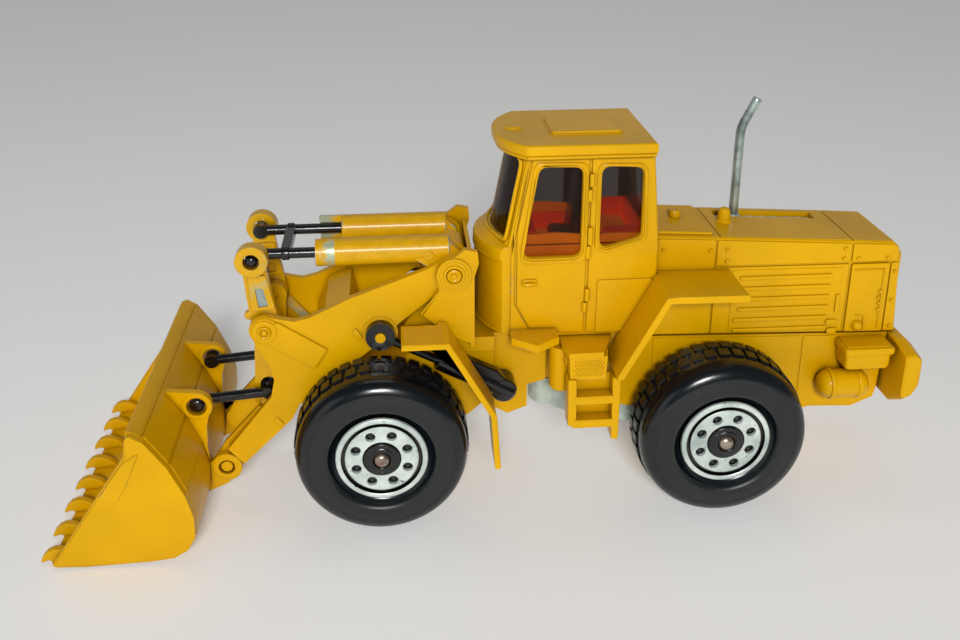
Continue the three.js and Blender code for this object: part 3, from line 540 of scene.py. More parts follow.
    def tube(self, points, radius, material, steps=16, smooth=6, closed=False):
        """A round tube along a smooth line through the points; radius is one number or one for each point."""
        line, radii = spline(points, radius, smooth, closed)
        bm = bmesh.new()
        rows = []
        side = None
        count = len(line)
        for i, here in enumerate(line):
            ahead = line[(i + 1) % count] if closed or i + 1 < count else here
            behind = line[i - 1] if closed or i else here
            along = (ahead - behind).normalized()
            side = along.orthogonal().normalized() if side is None else (side - along * side.dot(along)).normalized()
            other = along.cross(side)
            rows.append([bm.verts.new(here + (side * math.cos(t) + other * math.sin(t)) * radii[i])
                for t in (2 * math.pi * k / steps for k in range(steps))])
        for i in range(count if closed else count - 1):
            bridge(bm, rows[i], rows[(i + 1) % count])
        if not closed:
            bm.faces.new(rows[0])
            bm.faces.new(rows[-1])
        return self.solid(bm, material)

    def line(self, points, y, *rest):
        """A tube through (x, z) points in the plane at y."""
        return self.tube([(u, y, v) for u, v in points], *rest)

    def loft(self, rings):
        """A closed body through matching rings of points, capped at both ends."""
        bm = bmesh.new()
        rows = [[bm.verts.new(c) for c in ring] for ring in rings]
        for a, b in zip(rows, rows[1:]):
            bridge(bm, a, b)
        for row in (rows[0], rows[-1]):
            bm.faces.new(row)
        return self.solid(bm, PAINT)

    def studs(self, places, normal, size, height, material):
        """Small four-sided studs standing on a flat face."""
        normal = Vector(normal).normalized()
        side = normal.orthogonal().normalized()
        other = normal.cross(side)
        corners = [side * math.cos(math.pi / 2 * k) + other * math.sin(math.pi / 2 * k) for k in range(4)]
        bm = bmesh.new()
        for place in places:
            base = Vector(place) - normal * 0.1
            foot = [bm.verts.new(base + d * size) for d in corners]
            crown = [bm.verts.new(base + normal * (height + 0.1) + d * size * 0.45) for d in corners]
            bm.faces.new(list(reversed(foot)))
            bm.faces.new(crown)
            bridge(bm, foot, crown)
        return self.solid(bm, material)

    def rivet(self, centre, normal, radius, height, material):
        profile = [(0, -0.1), (radius, -0.1), (radius, height * 0.4), (radius * 0.7, height * 0.85), (0, height)]
        return self.lathe(profile, centre, normal, material, 12)

    def cad(self, node, material, bevel=0.2):
        """The CAD node's own shape with its sharp edges rounded."""
        bm = bmesh.new()
        bm.from_mesh(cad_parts[node].data)
        for v in bm.verts:
            v.co = FROM_FRAME @ v.co
        for layer in list(bm.loops.layers.uv):
            bm.loops.layers.uv.remove(layer)
        edge = bm.faces.layers.float.new("edge")
        bmesh.ops.remove_doubles(bm, verts=bm.verts, dist=0.002)
        bmesh.ops.dissolve_limit(bm, angle_limit=math.radians(0.6), verts=bm.verts, edges=bm.edges)
        if bevel:
            sharp = [e for e in bm.edges if len(e.link_faces) == 2 and e.calc_face_angle(0) > math.radians(28)]
            made = bmesh.ops.bevel(bm, geom=sharp, offset=bevel, offset_type="OFFSET", segments=2, profile=0.6,
                affect="EDGES", clamp_overlap=True)
            for f in made["faces"]:
                f[edge] = 1.0
        return self.take(bm, material)

    def finish(self, node, body, kind="cast", sharp=34):
        """Makes the object that stands in for a CAD node; kind ends its name."""
        name = f"{node}_{kind}"
        bmesh.ops.transform(self.bm, matrix=TO_FRAME, verts=self.bm.verts)
        mesh = bpy.data.meshes.new(name)
        self.bm.to_mesh(mesh)
        self.bm.free()
        for m in self.materials:
            mesh.materials.append(m)
        mesh.set_sharp_from_angle(angle=math.radians(sharp))
        obj = bpy.data.objects.new(name, mesh)
        bpy.context.scene.collection.objects.link(obj)
        weighted = obj.modifiers.new("weighted", "WEIGHTED_NORMAL")
        weighted.keep_sharp = True
        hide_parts(node)
        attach(obj, body)
        return obj


def bridge(bm, a, b):
    """Joins two rings of the same count with a band of faces."""
    for k in range(len(a)):
        j = (k + 1) % len(a)
        bm.faces.new((a[k], a[j], b[j], b[k]))


def spline(points, radius, smooth, closed=False):
    """Catmull-Rom line through the points."""
    pts = [Vector(p) for p in points]
    radii = list(radius) if isinstance(radius, (list, tuple)) else [radius] * len(pts)
    if smooth <= 1:
        return pts, radii
    out, out_radii = [], []
    count = len(pts)
    spans = count if closed else count - 1
    for i in range(spans):
        if closed:
            p = [pts[(i + k - 1) % count] for k in range(4)]
        else:
            p = [pts[max(i - 1, 0)], pts[i], pts[i + 1], pts[min(i + 2, count - 1)]]
        for k in range(smooth):
            t = k / smooth
            out.append(0.5 * ((2 * p[1]) + (p[2] - p[0]) * t + (2 * p[0] - 5 * p[1] + 4 * p[2] - p[3]) * t * t
                              + (3 * p[1] - 3 * p[2] + p[3] - p[0]) * t ** 3))
            out_radii.append(radii[i] * (1 - t) + radii[(i + 1) % count] * t)
    if not closed:
        out.append(pts[-1])
        out_radii.append(radii[-1])
    return out, out_radii


def sides():
    return (("left", 1), ("right", -1))


def span(side, a, b):
    """The y range from |a| to |b| on one side."""
    return (side * a, side * b) if side > 0 else (side * b, side * a)


# ---------------------------------------------------------------- wheels
LUGS = 38
AXLES = {"front": 17.35, "rear": -47.9}
HUB_Z = TYRE_R = 16.5


def tyre_piece(x, side):
    """Tyre with a glossy shoulder, tinted blue as a painted reflection, and two staggered rows of tread blocks."""
    p = Piece()
    base, axis = (x, 0, HUB_Z), (0, side, 0)
    inner = [(8.75, 11.75), (9.7, 10.95), (12.2, 10.5), (14.2, 11.0), (15.35, 12.1), (15.75, 13.0)]
    tread = [(15.8, 14.0), (15.85, 15.0), (15.85, 15.6), (15.85, 17.6)]
    shoulder = [(16.05, 17.9), (16.12, 18.8), (16.1, 19.8), (15.98, 20.7), (15.7, 21.4), (15.3, 21.95),
        (14.75, 22.35), (14.1, 22.65), (13.5, 22.82)]
    wall = [(13.3, 22.78), (13.15, 22.8), (12.0, 23.1), (10.9, 23.15), (10.35, 22.95)]
    bead = [(10.0, 22.55), (9.75, 22.0), (9.55, 21.55), (9.0, 21.25), (8.8, 21.2), (8.72, 20.0)]
    profile = inner + tread + shoulder + wall + bead
    first_shoulder = len(inner) + len(tread)
    first_wall = first_shoulder + len(shoulder)
    first_bead = first_wall + len(wall)

    def choose(i):
        if i < len(inner):
            return SIDEWALL
        if i < first_shoulder:
            return TREAD
        if i < first_wall - 1:
            return SHOULDER_SHEEN
        return SIDEWALL if i < first_bead else SHOULDER_SHEEN

    p.lathe(profile, base, axis, choose, steps=120, closed=True)
    step = 2 * math.pi / LUGS
    for row, (y0, y1) in enumerate(((12.6, 14.9), (15.5, 18.1))):
        for k in range(LUGS):
            a = (k + 0.5 * row) * step
            half = 0.36 * step
            corners = [(TYRE_R, t) for t in (-1, -0.33, 0.33, 1)] + [(TYRE_R - 1.1, 1), (TYRE_R - 1.1, -1)]
            outline = [(x + r * math.cos(a + half * t), HUB_Z + r * math.sin(a + half * t)) for r, t in corners]
            p.plate(outline, side, y0, y1, TREAD, 0.14, steps=1)
    return p


def rim_piece(x, side):
    """Rim face with its bright lip and eight round holes."""
    p = Piece()
    base, axis = (x, 0, HUB_Z), (0, side, 0)
    face = 22.35
    lip = [(8.65, 12.8), (8.65, face - 0.5), (8.5, face - 0.15), (8.2, face), (7.75, face), (7.6, face - 0.12),
        (7.5, face - 0.8), (6.95, face - 0.8), (6.85, face - 0.25), (6.7, face - 0.12)]
    well = [(6.7, face - 1.9), (3.7, face - 1.9), (3.7, face - 0.12), (3.55, face - 0.25), (3.5, face - 1.4),
        (1.6, face - 1.4), (1.6, 12.8)]
    p.lathe(lip + well, base, axis, lambda i: RIM if i in (1, 2, 3, 4, 8) else BLACK, steps=96, closed=True)
    angles = [(k + 0.5) * math.pi / 4 for k in range(8)]
    holes = [circle((x + 5.15 * math.cos(a), HUB_Z + 5.15 * math.sin(a)), 0.95, 20) for a in angles]
    holes.append(circle((x, HUB_Z), 3.6, 64))
    p.plate(circle((x, HUB_Z), 6.72, 96), side, face - 1.0, face - 0.1, RIM, 0.1, holes=holes, steps=2)
    p.plate(circle((x, HUB_Z), 6.6, 64), side, face - 2.1, face - 1.1, BLACK, 0.05,
        holes=[circle((x, HUB_Z), 3.4, 48)], steps=1)
    return p


def hub_piece(x, side):
    """Black hub cap around the axle's end."""
    p = Piece()
    profile = [(1.6, 21.1), (3.45, 21.1), (3.45, 22.2), (3.25, 22.5), (2.5, 22.62), (2.3, 22.75), (1.75, 22.8),
        (1.6, 22.6)]
    p.lathe(profile, (x, 0, HUB_Z), (0, side, 0), BLACK_DUSTY, steps=48, closed=True, round_off=0.1)
    return p


def wheels():
    for where, x in AXLES.items():
        for name, side in sides():
            body = f"wheel_{where}_{name}"
            tyre_piece(x, side).finish(f"tyre_{where}_{name}", body, "moulded", 38)
            rim_piece(x, side).finish(f"rim_{where}_{name}", body, "stamped", 35)
            hub_piece(x, side).finish(f"hub_{where}_{name}", body, "cap", 35)


def axle_piece(x):
    """Plain axle with rounded ends."""
    p = Piece()
    half = 23.35
    profile = spindle([(0, 0), (0.7, 0.03), (1.15, 0.25), (1.45, 0.7), (1.48, 1.0)], -half, half)
    p.lathe(profile, (x, 0, HUB_Z), (0, 1, 0), STEEL, steps=32)
    return p


wheels()
for axle_name, axle_x in AXLES.items():
    axle_piece(axle_x).finish(f"{axle_name}_axle", f"{axle_name}_frame", "turned", 32)


# ---------------------------------------------------------------- shared detail
def panel(p, side, outline, base, proud, material, round_to=0.5, bevel=0.1, holes=(), rub=0.0):
    """A thin raised panel on a vertical face at |y| = base."""
    shape = fillet(outline, round_to, 3) if round_to else outline
    return p.plate(shape, side, base - 0.15, base + proud, material, bevel, holes=holes, rub=rub)


def rings(p, centre, y, side, sizes, material):
    """Stepped round boss: (radius, height) pairs above the face at y."""
    for radius, height in sizes:
        p.rod_y(centre, radius, *span(side, abs(y) - 0.3, abs(y) + height), material, 0.14, 40)
    return p


def scaled(outline, amount):
    """An outline grown by amount all round (negative shrinks it)."""
    ring = outline if area(outline) > 0 else list(reversed(outline))
    return offset_outline(ring, -amount)


def closed_bead(p, outline, y, radius, material, round_to=0.8):
    shape = fillet(outline, round_to, 4)
    return p.tube([(u, y, v) for u, v in shape], radius, material, 10, 1, closed=True)


# ---------------------------------------------------------------- cab
WINDOWS = [
    [(-12.95, 68.7), (-20.85, 68.5), (-20.85, 50.9), (-9.95, 50.9)],
    [(-24.4, 68.6), (-32.1, 68.2), (-32.25, 54.5), (-24.4, 52.2)],
]
RIMS = [
    [(-12.0, 69.5), (-21.6, 69.3), (-21.8, 50.0), (-9.5, 50.0), (-10.3, 55.0)],
    [(-23.7, 69.1), (-32.3, 68.9), (-33.1, 54.2), (-25.6, 51.9), (-23.6, 52.6)],
]
CAB = 10.5


def cab():
    """Cab casting: walls with rounded windows, raised door, hinges, handle and windscreen line."""
    p = Piece()
    openings = [fillet(window, 1.7, 5) for window in WINDOWS]
    wall = [(-35.7, 34.4), (-7.5, 34.4), (-7.5, 52.8), (-10.86, 70.5), (-34.1, 70.5), (-35.7, 52.8)]
    for _, side in sides():
        p.plate(wall, side, 9.4, CAB, PAINT, 0.18, holes=openings)
        foot = [(-7.6, 10.45), (-6.5, 9.25), (-7.9, 8.95), (-9.0, 9.4)]
        p.loft([[(x - 0.19 * (z - 52.8), side * y, z) for x, y in foot] for z in (52.2, 58.0, 64.0, 70.5)])
        pillar = [(-7.75, 35.7), (-7.75, 51.6), (-10.75, 70.3), (-11.15, 70.3), (-8.35, 56.2), (-8.4, 41.6),
            (-10.95, 36.8), (-10.95, 35.7)]
        door = [(-11.65, 70.3), (-8.85, 56.2), (-8.9, 41.5), (-11.4, 36.5), (-16.4, 36.3), (-16.9, 35.4),
            (-21.8, 35.2), (-21.9, 70.2)]
        rear = [(-22.5, 70.2), (-22.4, 35.2), (-35.4, 34.9), (-35.4, 52.9), (-33.9, 70.2)]
        panel(p, side, pillar, CAB, 0.3, PAINT_WORN, 0.15, 0.12)
        panel(p, side, door, CAB, 0.32, PAINT, 0.3, 0.14, holes=[scaled(openings[0], 0.1)])
        panel(p, side, rear, CAB, 0.32, PAINT, 0.15, 0.14, holes=[scaled(openings[1], 0.1)])
        for opening, rim in zip(openings, RIMS):
            band = fillet(rim, 1.5, 5)
            p.plate(band, side, CAB + 0.1, CAB + 0.62, PAINT, 0.22, holes=[scaled(opening, 0.45)], steps=3)
            closed_bead(p, band, side * (CAB + 0.36), 0.24, PAINT, 0)
        lower = [(-24.2, 46.1), (-34.7, 46.1), (-34.9, 35.1), (-24.1, 35.1)]
        panel(p, side, lower, CAB + 0.2, 0.42, PAINT, 0.5, 0.2)
        for x, z0, z1 in ((-22.5, 64.9, 67.4), (-22.2, 62.0, 64.4), (-22.5, 53.4, 56.9), (-22.2, 50.6, 53.2),
                (-22.3, 41.8, 44.4), (-21.9, 39.6, 41.6)):
            p.rod((x, side * (CAB + 0.42), z0), (x, side * (CAB + 0.42), z1), 0.5, PAINT, 0.2, 16)
        handle = box(-9.7, -12.75, 46.75, 45.1)
        panel(p, side, handle, CAB + 0.25, 0.4, PAINT, 0.8, 0.2)
        grip = [(-10.0, 0.5), (-10.5, 0.95), (-11.9, 0.95), (-12.4, 0.5)]
        p.tube([(x, side * (CAB + out), 45.9) for x, out in grip], 0.32, PAINT, 10, 4)
        p.tube([(-7.5, side * 10.3, 53.2), (-9.15, side * 10.3, 61.5), (-10.85, side * 10.25, 70.4)], 0.36,
            PAINT_WORN, 12, 4)
    half_line = [(-9.3, 8.7, 70.2), (-9.55, 9.45, 68.9), (-8.6, 9.6, 64.0), (-7.5, 9.65, 58.0), (-6.95, 9.6, 55.3),
        (-6.6, 9.15, 54.4), (-6.1, 8.0, 54.2), (-5.1, 5.5, 54.2), (-4.35, 2.8, 54.2)]
    line = half_line + [(-4.1, 0.0, 54.2)] + [(x, -y, z) for x, y, z in reversed(half_line)]
    p.tube(line, 0.42, PAINT, 12, 5)
    rear_wall(p)
    p.slab(box(-35.6, -8.0, -10.3, 10.3), "z", 34.4, 35.9, PAINT, 0.2)
    p.slab(box(-34.0, -11.3, -10.3, 10.3), "z", 69.7, 70.5, PAINT, 0.1)
    nose(p)
    p.finish("cab_shell", "rear_frame")


def nose_ring(radius, z, half=10.45):
    edge = math.degrees(math.asin(min(0.999, half / radius)))
    points = arc((-16.5, 0), radius, -edge, edge, 28)
    return [(-8.2, -half, z)] + [(x, y, z) for x, y in points] + [(-8.2, half, z)]


def nose(p):
    """The drum under the windscreen, with the rounded ledge that the windscreen stands on."""
    p.loft([nose_ring(14.45, 35.3), nose_ring(14.7, 35.5), nose_ring(14.75, 35.9), nose_ring(14.75, 50.3),
        nose_ring(14.98, 50.6), nose_ring(15.0, 52.2), nose_ring(14.8, 52.75), nose_ring(14.3, 53.05, half=10.3),
        nose_ring(13.5, 53.3, half=10.1), nose_ring(13.0, 53.9, half=9.8), nose_ring(12.6, 54.3, half=9.6),
        nose_ring(12.3, 54.4, half=9.5)])
    p.tube([(x, y, 50.45) for x, y in arc((-16.5, 0), 14.88, -43, 43, 24)], 0.2, PAINT, 10, 1)
    p.tube([(x, y, 35.7) for x, y in arc((-16.5, 0), 14.7, -44, 44, 24)], 0.3, PAINT_WORN, 10, 1)


def rear_wall(p):
    """The back of the cab, upright below the sill and leaning forward above it."""
    p.slab(box(-10.4, 10.4, 34.4, 52.9), "x", -35.7, -34.6, PAINT, 0.18)
    lean = 0.09
    opening = fillet(box(-7.6, 7.6, 56.0, 68.0), 1.2, 4)
    upper = Piece().slab(box(-10.4, 10.4, 52.7, 70.5), "x", -35.7, -34.6, PAINT, 0.18, holes=[opening])
    upper.slab(fillet(box(-8.9, 8.9, 54.7, 69.3), 1.6, 4), "x", -36.1, -35.5, PAINT, 0.22,
        holes=[scaled(opening, 0.3)], steps=3)
    for v in upper.bm.verts:
        v.co.x += lean * max(0.0, v.co.z - 52.8)
    p.take(upper.bm, PAINT)


def roof():
    """Roof with a rounded front, hatch and boss."""
    p = Piece()
    half = 12.4

    def outline(inset):
        points = [(-34.1 + inset, -half + inset)]
        for i in range(25):
            t = -1 + i / 12
            points.append((-5.2 - inset - 5.0 * abs(t) ** 2.6, (half - inset) * t))
        return points + [(-34.1 + inset, half - inset)]

    p.slab(outline(0.45), "z", 70.5, 71.4, PAINT, 0.2)
    p.slab(outline(0.0), "z", 71.2, 73.3, PAINT, 0.55, steps=4)
    for _, side in sides():
        p.line([(-10.4, 71.05), (-18.0, 71.02), (-26.0, 71.05), (-33.8, 71.02)], side * 12.15, 0.3, PAINT_WORN, 10, 3)
    hatch = fillet(box(-29.0, -15.7, -5.4, 5.4), 0.8, 4)
    p.slab(scaled(hatch, 0.45), "z", 73.0, 73.45, PAINT, 0.1)
    p.slab(hatch, "z", 73.0, 73.85, PAINT, 0.3, steps=3)
    p.lathe([(0, 73.0), (1.9, 73.0), (1.9, 73.35), (1.5, 73.62), (0.8, 73.72), (0, 73.74)], (-9.2, 0, 0), (0, 0, 1),
        PAINT, 32)
    p.finish("cab_roof", "rear_frame")


def interior():
    """Red and orange tub, seat, console and rear shelf, seen through the glazing; the red and orange parts glow as
    painted light.
    """
    p = Piece()
    p.block(-33.6, -9.6, -8.4, 8.4, 36.2, 49.6, ORANGE, 0.3)
    for _, side in sides():
        wall = [(-33.6, 49.2), (-9.8, 49.2), (-9.8, 53.0), (-24.6, 53.0), (-25.8, 55.9), (-33.4, 55.9)]
        p.plate(fillet(wall, 0.4, 2), side, 7.6, 8.3, INTERIOR, 0.2)
        near = [(-33.4, 49.2), (-9.8, 49.2), (-9.8, 54.9), (-16.5, 55.2), (-24.6, 54.4), (-25.8, 54.8), (-33.2, 54.6)]
        p.plate(fillet(near, 0.5, 2), side, 8.2, 8.6, TUB, 0.12)
        # painted shade: the strip low in the windows is a darker copy of the tub orange
        p.plate(box(-33.2, -9.8, 49.4, 52.86), side, 8.5, 9.2, TUB_SHADED, 0.05)
    p.block(-33.5, -32.7, -8.2, 8.2, 49.2, 55.9, INTERIOR, 0.25)
    p.block(-10.4, -9.4, -8.2, 8.2, 49.2, 53.2, INTERIOR, 0.25)
    cushion = fillet([(-24.6, 49.4), (-16.8, 49.4), (-16.6, 51.6), (-17.4, 52.4), (-24.2, 51.8)], 0.8, 4)
    p.slab(cushion, "y", -3.9, 3.9, BLACK, 0.7, steps=4)
    back = fillet([(-19.6, 51.2), (-22.6, 51.2), (-24.0, 63.2), (-23.0, 64.8), (-21.4, 64.4)], 0.8, 4)
    p.slab(back, "y", -3.2, 3.2, BLACK, 0.8, steps=4)
    for _, side in sides():
        p.block(-27.0, -17.6, *span(side, 4.4, 5.6), 49.4, 51.4, ORANGE, 0.35)
    p.block(-13.2, -10.2, -6.2, 6.2, 49.2, 54.6, INTERIOR, 0.5)
    p.block(-32.4, -28.0, -7.6, 7.6, 49.2, 52.2, ORANGE, 0.5)
    p.finish("cab_interior", "rear_frame", "moulded", 40)


def glazing():
    """One-piece smoked glazing."""
    p = Piece().cad("cab_glazing", GLAZING, 0.0)
    p.finish("cab_glazing", "rear_frame", "moulded", 30)


# ---------------------------------------------------------------- hood and rear fittings
HOOD = 8.5
# Raised panels on the hood's side: outline, lift from the side, thickness, corner radius, rim radius.
HOOD_PANELS = [
    ([(-36.1, 32.9), (-47.35, 32.6), (-47.35, 52.5), (-36.1, 53.1)], 0, 0.3, 0.2, 0.13),
    ([(-47.75, 47.1), (-74.35, 46.9), (-74.35, 50.8), (-47.75, 52.4)], 0, 0.3, 0.2, 0.13),
    ([(-47.75, 32.6), (-74.25, 31.9), (-74.35, 46.5), (-47.75, 46.7)], 0, 0.3, 0.2, 0.13),
    ([(-51.2, 32.9), (-73.1, 32.4), (-73.2, 45.9), (-51.2, 46.1)], 0.1, 0.34, 0.5, 0.14),
    ([(-74.8, 46.9), (-84.1, 46.9), (-83.9, 49.6), (-82.9, 50.3), (-74.8, 50.75)], 0, 0.3, 0.2, 0.13),
    ([(-74.9, 31.9), (-82.6, 31.7), (-82.5, 46.5), (-74.9, 46.5)], 0.1, 0.42, 0.4, 0.16),
    ([(-83.0, 31.7), (-85.3, 31.6), (-84.4, 46.5), (-82.9, 46.5)], 0, 0.3, 0.2, 0.13),
    (box(-72.35, -73.0, 36.4, 40.2), 0.3, 0.52, 0.24, 0.1),
    (box(-70.8, -73.0, 33.7, 34.8), 0.28, 0.55, 0.5, 0.15),
    (box(-71.2, -73.2, 31.7, 32.9), 0.28, 0.55, 0.5, 0.15),
]


def hood_top(x):
    """Height of the hood's top at x."""
    if x > -74.4:
        return 53.5 + (x + 35.9) * (53.5 - 51.2) / 38.5
    return 51.2 + (x + 74.4) * 0.6 / 8.8


def top_strip(p, x0, x1, y0, y1):
    """A thin raised plate that follows the slope of the hood's top."""
    shape = [(x0, hood_top(x0) - 0.2), (x0, hood_top(x0) + 0.16), (x1, hood_top(x1) + 0.16), (x1, hood_top(x1) - 0.2)]
    p.slab(shape, "y", y0, y1, PAINT, 0.1)


def engine_hood():
    """Hood casting: slot, side panels, louvres, rivets, filler caps, tread plate and rear grille."""
    p = Piece()
    rim = [(-35.9, 32.6), (-85.65, 31.3), (-84.3, 49.5), (-83.2, 50.6), (-74.4, 51.2), (-35.9, 53.5)]
    slotted = [(-35.9, 32.6), (-85.65, 31.3), (-84.3, 49.5), (-83.2, 50.6), (-74.4, 51.2), (-71.6, hood_top(-71.6)),
        (-71.6, 50.2), (-50.8, 50.2), (-50.8, hood_top(-50.8)), (-35.9, 53.5)]
    rounded = fillet(rim, [0.2, 0.3, 0.6, 0.8, 0.8, 0.2], 4)
    p.slab(rounded, "y", -HOOD, -6.35, PAINT, 0.35, steps=3, ends=(True, False))
    p.slab(slotted, "y", -6.35, -3.3, PAINT, 0.3, ends=(False, False))
    p.slab(rounded, "y", -3.3, HOOD, PAINT, 0.35, steps=3, ends=(False, True))
    for _, side in sides():
        y = HOOD
        for outline, lift, proud, corner, rim_round in HOOD_PANELS:
            panel(p, side, outline, y + lift, proud, PAINT, corner, rim_round)
        p.line([(-81.6, 32.4), (-81.5, 45.3), (-75.6, 45.3)], side * (y + 0.55), 0.2, PAINT, 8, 1)
        for i in range(6):
            z = 33.2 + 2.24 * i
            front = -51.9 if i < 2 else -52.6
            panel(p, side, [(front, z - 0.38), (-71.0, z - 0.42), (-71.0, z + 0.34), (front, z + 0.38)], y + 0.3, 0.5,
                PAINT, 0.42, 0.2)
        for x, z in ((-49.7, 50.5), (-49.8, 48.1), (-73.2, 49.8), (-73.1, 47.8), (-76.0, 47.7), (-81.9, 47.6),
                (-83.8, 44.6), (-83.9, 38.4), (-84.2, 32.8), (-81.2, 40.5), (-81.0, 39.2), (-81.2, 38.0),
                (-81.2, 36.6), (-37.2, 50.9), (-46.4, 50.4)):
            lift = 0.5 if -82.2 < x < -75.2 and z < 46 else 0.26
            p.rivet((x, side * (y + lift), z), (0, side, 0), 0.4, 0.42, PAINT)
        p.lathe([(0, 0), (1.05, 0), (1.05, 0.35), (0.9, 0.55), (0.85, 0.9), (0.5, 1.2), (0, 1.25)],
            (-77.3, side * (y + 0.4), 33.3), (0, side, 0), PAINT, 28)
        p.line([(-76.9, 35.5), (-78.5, 35.2), (-78.7, 32.2)], side * (y + 0.55), 0.18, PAINT, 8, 1)
    for x0, x1, y0, y1 in ((-36.0, -48.2, -8.1, 8.1), (-48.5, -74.6, -3.2, 8.1), (-48.5, -74.6, -8.1, -6.45),
            (-48.5, -50.7, -6.5, -3.1), (-71.7, -74.6, -6.5, -3.1), (-74.9, -83.0, -8.1, 8.1)):
        top_strip(p, x0, x1, y0, y1)
    tread = [(-36.3, hood_top(-36.3)), (-47.0, hood_top(-47.0)), (-47.0, hood_top(-47.0) + 0.75),
        (-36.3, hood_top(-36.3) + 0.75)]
    p.slab(tread, "y", -7.5, 7.5, PAINT, 0.25, steps=3)
    spots = []
    for i in range(13):
        for j in range(9):
            x, y = -37.2 - 0.76 * i - (0.38 if j % 2 else 0), -6.6 + 1.62 * j
            if math.hypot(x + 41.7, y + 0.9) > 1.7:
                spots.append((x, y, hood_top(x) + 0.74))
    p.studs(spots, (0.06, 0, 1), 0.26, 0.16, PAINT)
    p.lathe([(0, 0), (1.5, 0), (1.45, 0.35), (1.2, 0.6), (1.15, 1.75), (0.95, 2.05), (0, 2.15)], (-41.7, -0.9, 53.2),
        (0, 0, 1), PAINT, 32)
    p.lathe([(0, 0), (1.85, 0), (1.7, 0.3), (1.35, 0.7), (1.2, 2.3), (1.0, 2.85), (0.55, 3.1), (0, 3.15)],
        (-51.7, -0.5, 52.45), (0, 0, 1), PAINT, 32)
    rear = fillet(box(-7.6, 7.6, 33.4, 48.2), 0.7, 3)
    p.slab(rear, "x", -85.35, -84.75, PAINT, 0.25)
    for i in range(7):
        bar = fillet(box(-6.4, 6.4, 35.4 + 1.75 * i, 36.3 + 1.75 * i), 0.4, 3)
        p.slab(bar, "x", -85.75, -85.1, PAINT, 0.2)
    p.finish("engine_hood", "rear_frame")


def engine_and_exhaust():
    """Bare metal engine top in the slot, and the bent exhaust pipe."""
    p = Piece()
    strip = [(-71.4, 50.3), (-71.4, hood_top(-71.4) - 0.5), (-51.0, hood_top(-51.0) - 0.5), (-51.0, 50.3)]
    p.slab(strip, "y", -5.4, -3.4, ZINC, 0.2)
    for i in range(6):
        x = -69.6 + 2.6 * i
        p.block(x, x + 1.6, -5.2, -3.6, 50.7, hood_top(x) - 0.28, ZINC, 0.2)
    p.lathe([(0, 0), (1.35, 0), (1.35, 0.5), (1.15, 0.75), (0, 0.75)], (-55.1, -4.9, hood_top(-55.1) - 0.6),
        (0, 0, 1), ZINC, 28)
    p.finish("engine_top", "rear_frame")
    p = Piece()
    line = [(-55.1, -4.9, 50.6), (-55.1, -4.9, 58.0), (-55.1, -4.9, 66.0), (-55.15, -4.9, 69.6), (-55.5, -4.9, 71.3),
        (-56.4, -4.9, 73.3), (-57.85, -4.9, 76.3)]
    p.tube(line, [0.95, 0.92, 0.9, 0.9, 0.9, 0.88, 0.86], PIPE_METAL, 24, 5)
    tip, along = Vector((-57.85, -4.9, 76.3)), Vector((-1.45, 0, 3.0)).normalized()
    p.lathe([(0.5, -0.5), (0.88, -0.5), (0.9, 0.25), (0.82, 0.36), (0.6, 0.36), (0.52, 0.2)], tip, along, PIPE_METAL,
        24, closed=True)
    p.finish("exhaust_pipe", "rear_frame", sharp=40)


def chassis():
    """Rear chassis with its side panels, and the counterweight."""
    p = Piece().cad("rear_chassis", PAINT, 0.25)
    for _, side in sides():
        panel(p, side, [(-36.4, 31.9), (-66.5, 31.1), (-66.5, 14.1), (-60.0, 12.5), (-36.4, 12.5)], HOOD, 0.16, PAINT,
            0.3)
        panel(p, side, [(-66.9, 31.1), (-83.9, 30.7), (-83.1, 18.3), (-82.7, 16.9), (-78.6, 15.0), (-69.7, 15.4),
            (-66.9, 14.6)], HOOD, 0.16, PAINT, 0.3)
        p.line([(-24.9, 33.9), (-30.0, 33.9), (-35.6, 33.9)], side * 8.6, 0.25, PAINT, 8, 1)
    p.finish("rear_chassis", "rear_frame")
    p = Piece()
    sections = []
    for x, half, low, high, cut in ((-84.35, 16.7, 17.9, 30.9, 5.4), (-84.7, 17.0, 17.5, 31.2, 5.2),
            (-86.4, 17.0, 18.4, 31.3, 5.0), (-87.5, 16.8, 20.6, 30.3, 4.2), (-87.95, 16.3, 22.6, 29.2, 2.6)):
        ring = [(-half + cut, low), (half - cut, low), (half, low + cut * 0.62), (half, high - cut * 0.22),
            (half - cut * 1.1, high), (-half + cut * 1.1, high), (-half, high - cut * 0.22),
            (-half, low + cut * 0.62)]
        ring = fillet(ring, 0.7, 3)
        sections.append([(x, y, z) for y, z in ring])
    p.loft(sections)
    p.slab(fillet(box(-10.0, 10.0, 21.5, 28.6), 0.8, 3), "x", -88.0, -87.6, PAINT, 0.12)
    p.finish("counterweight", "rear_frame")


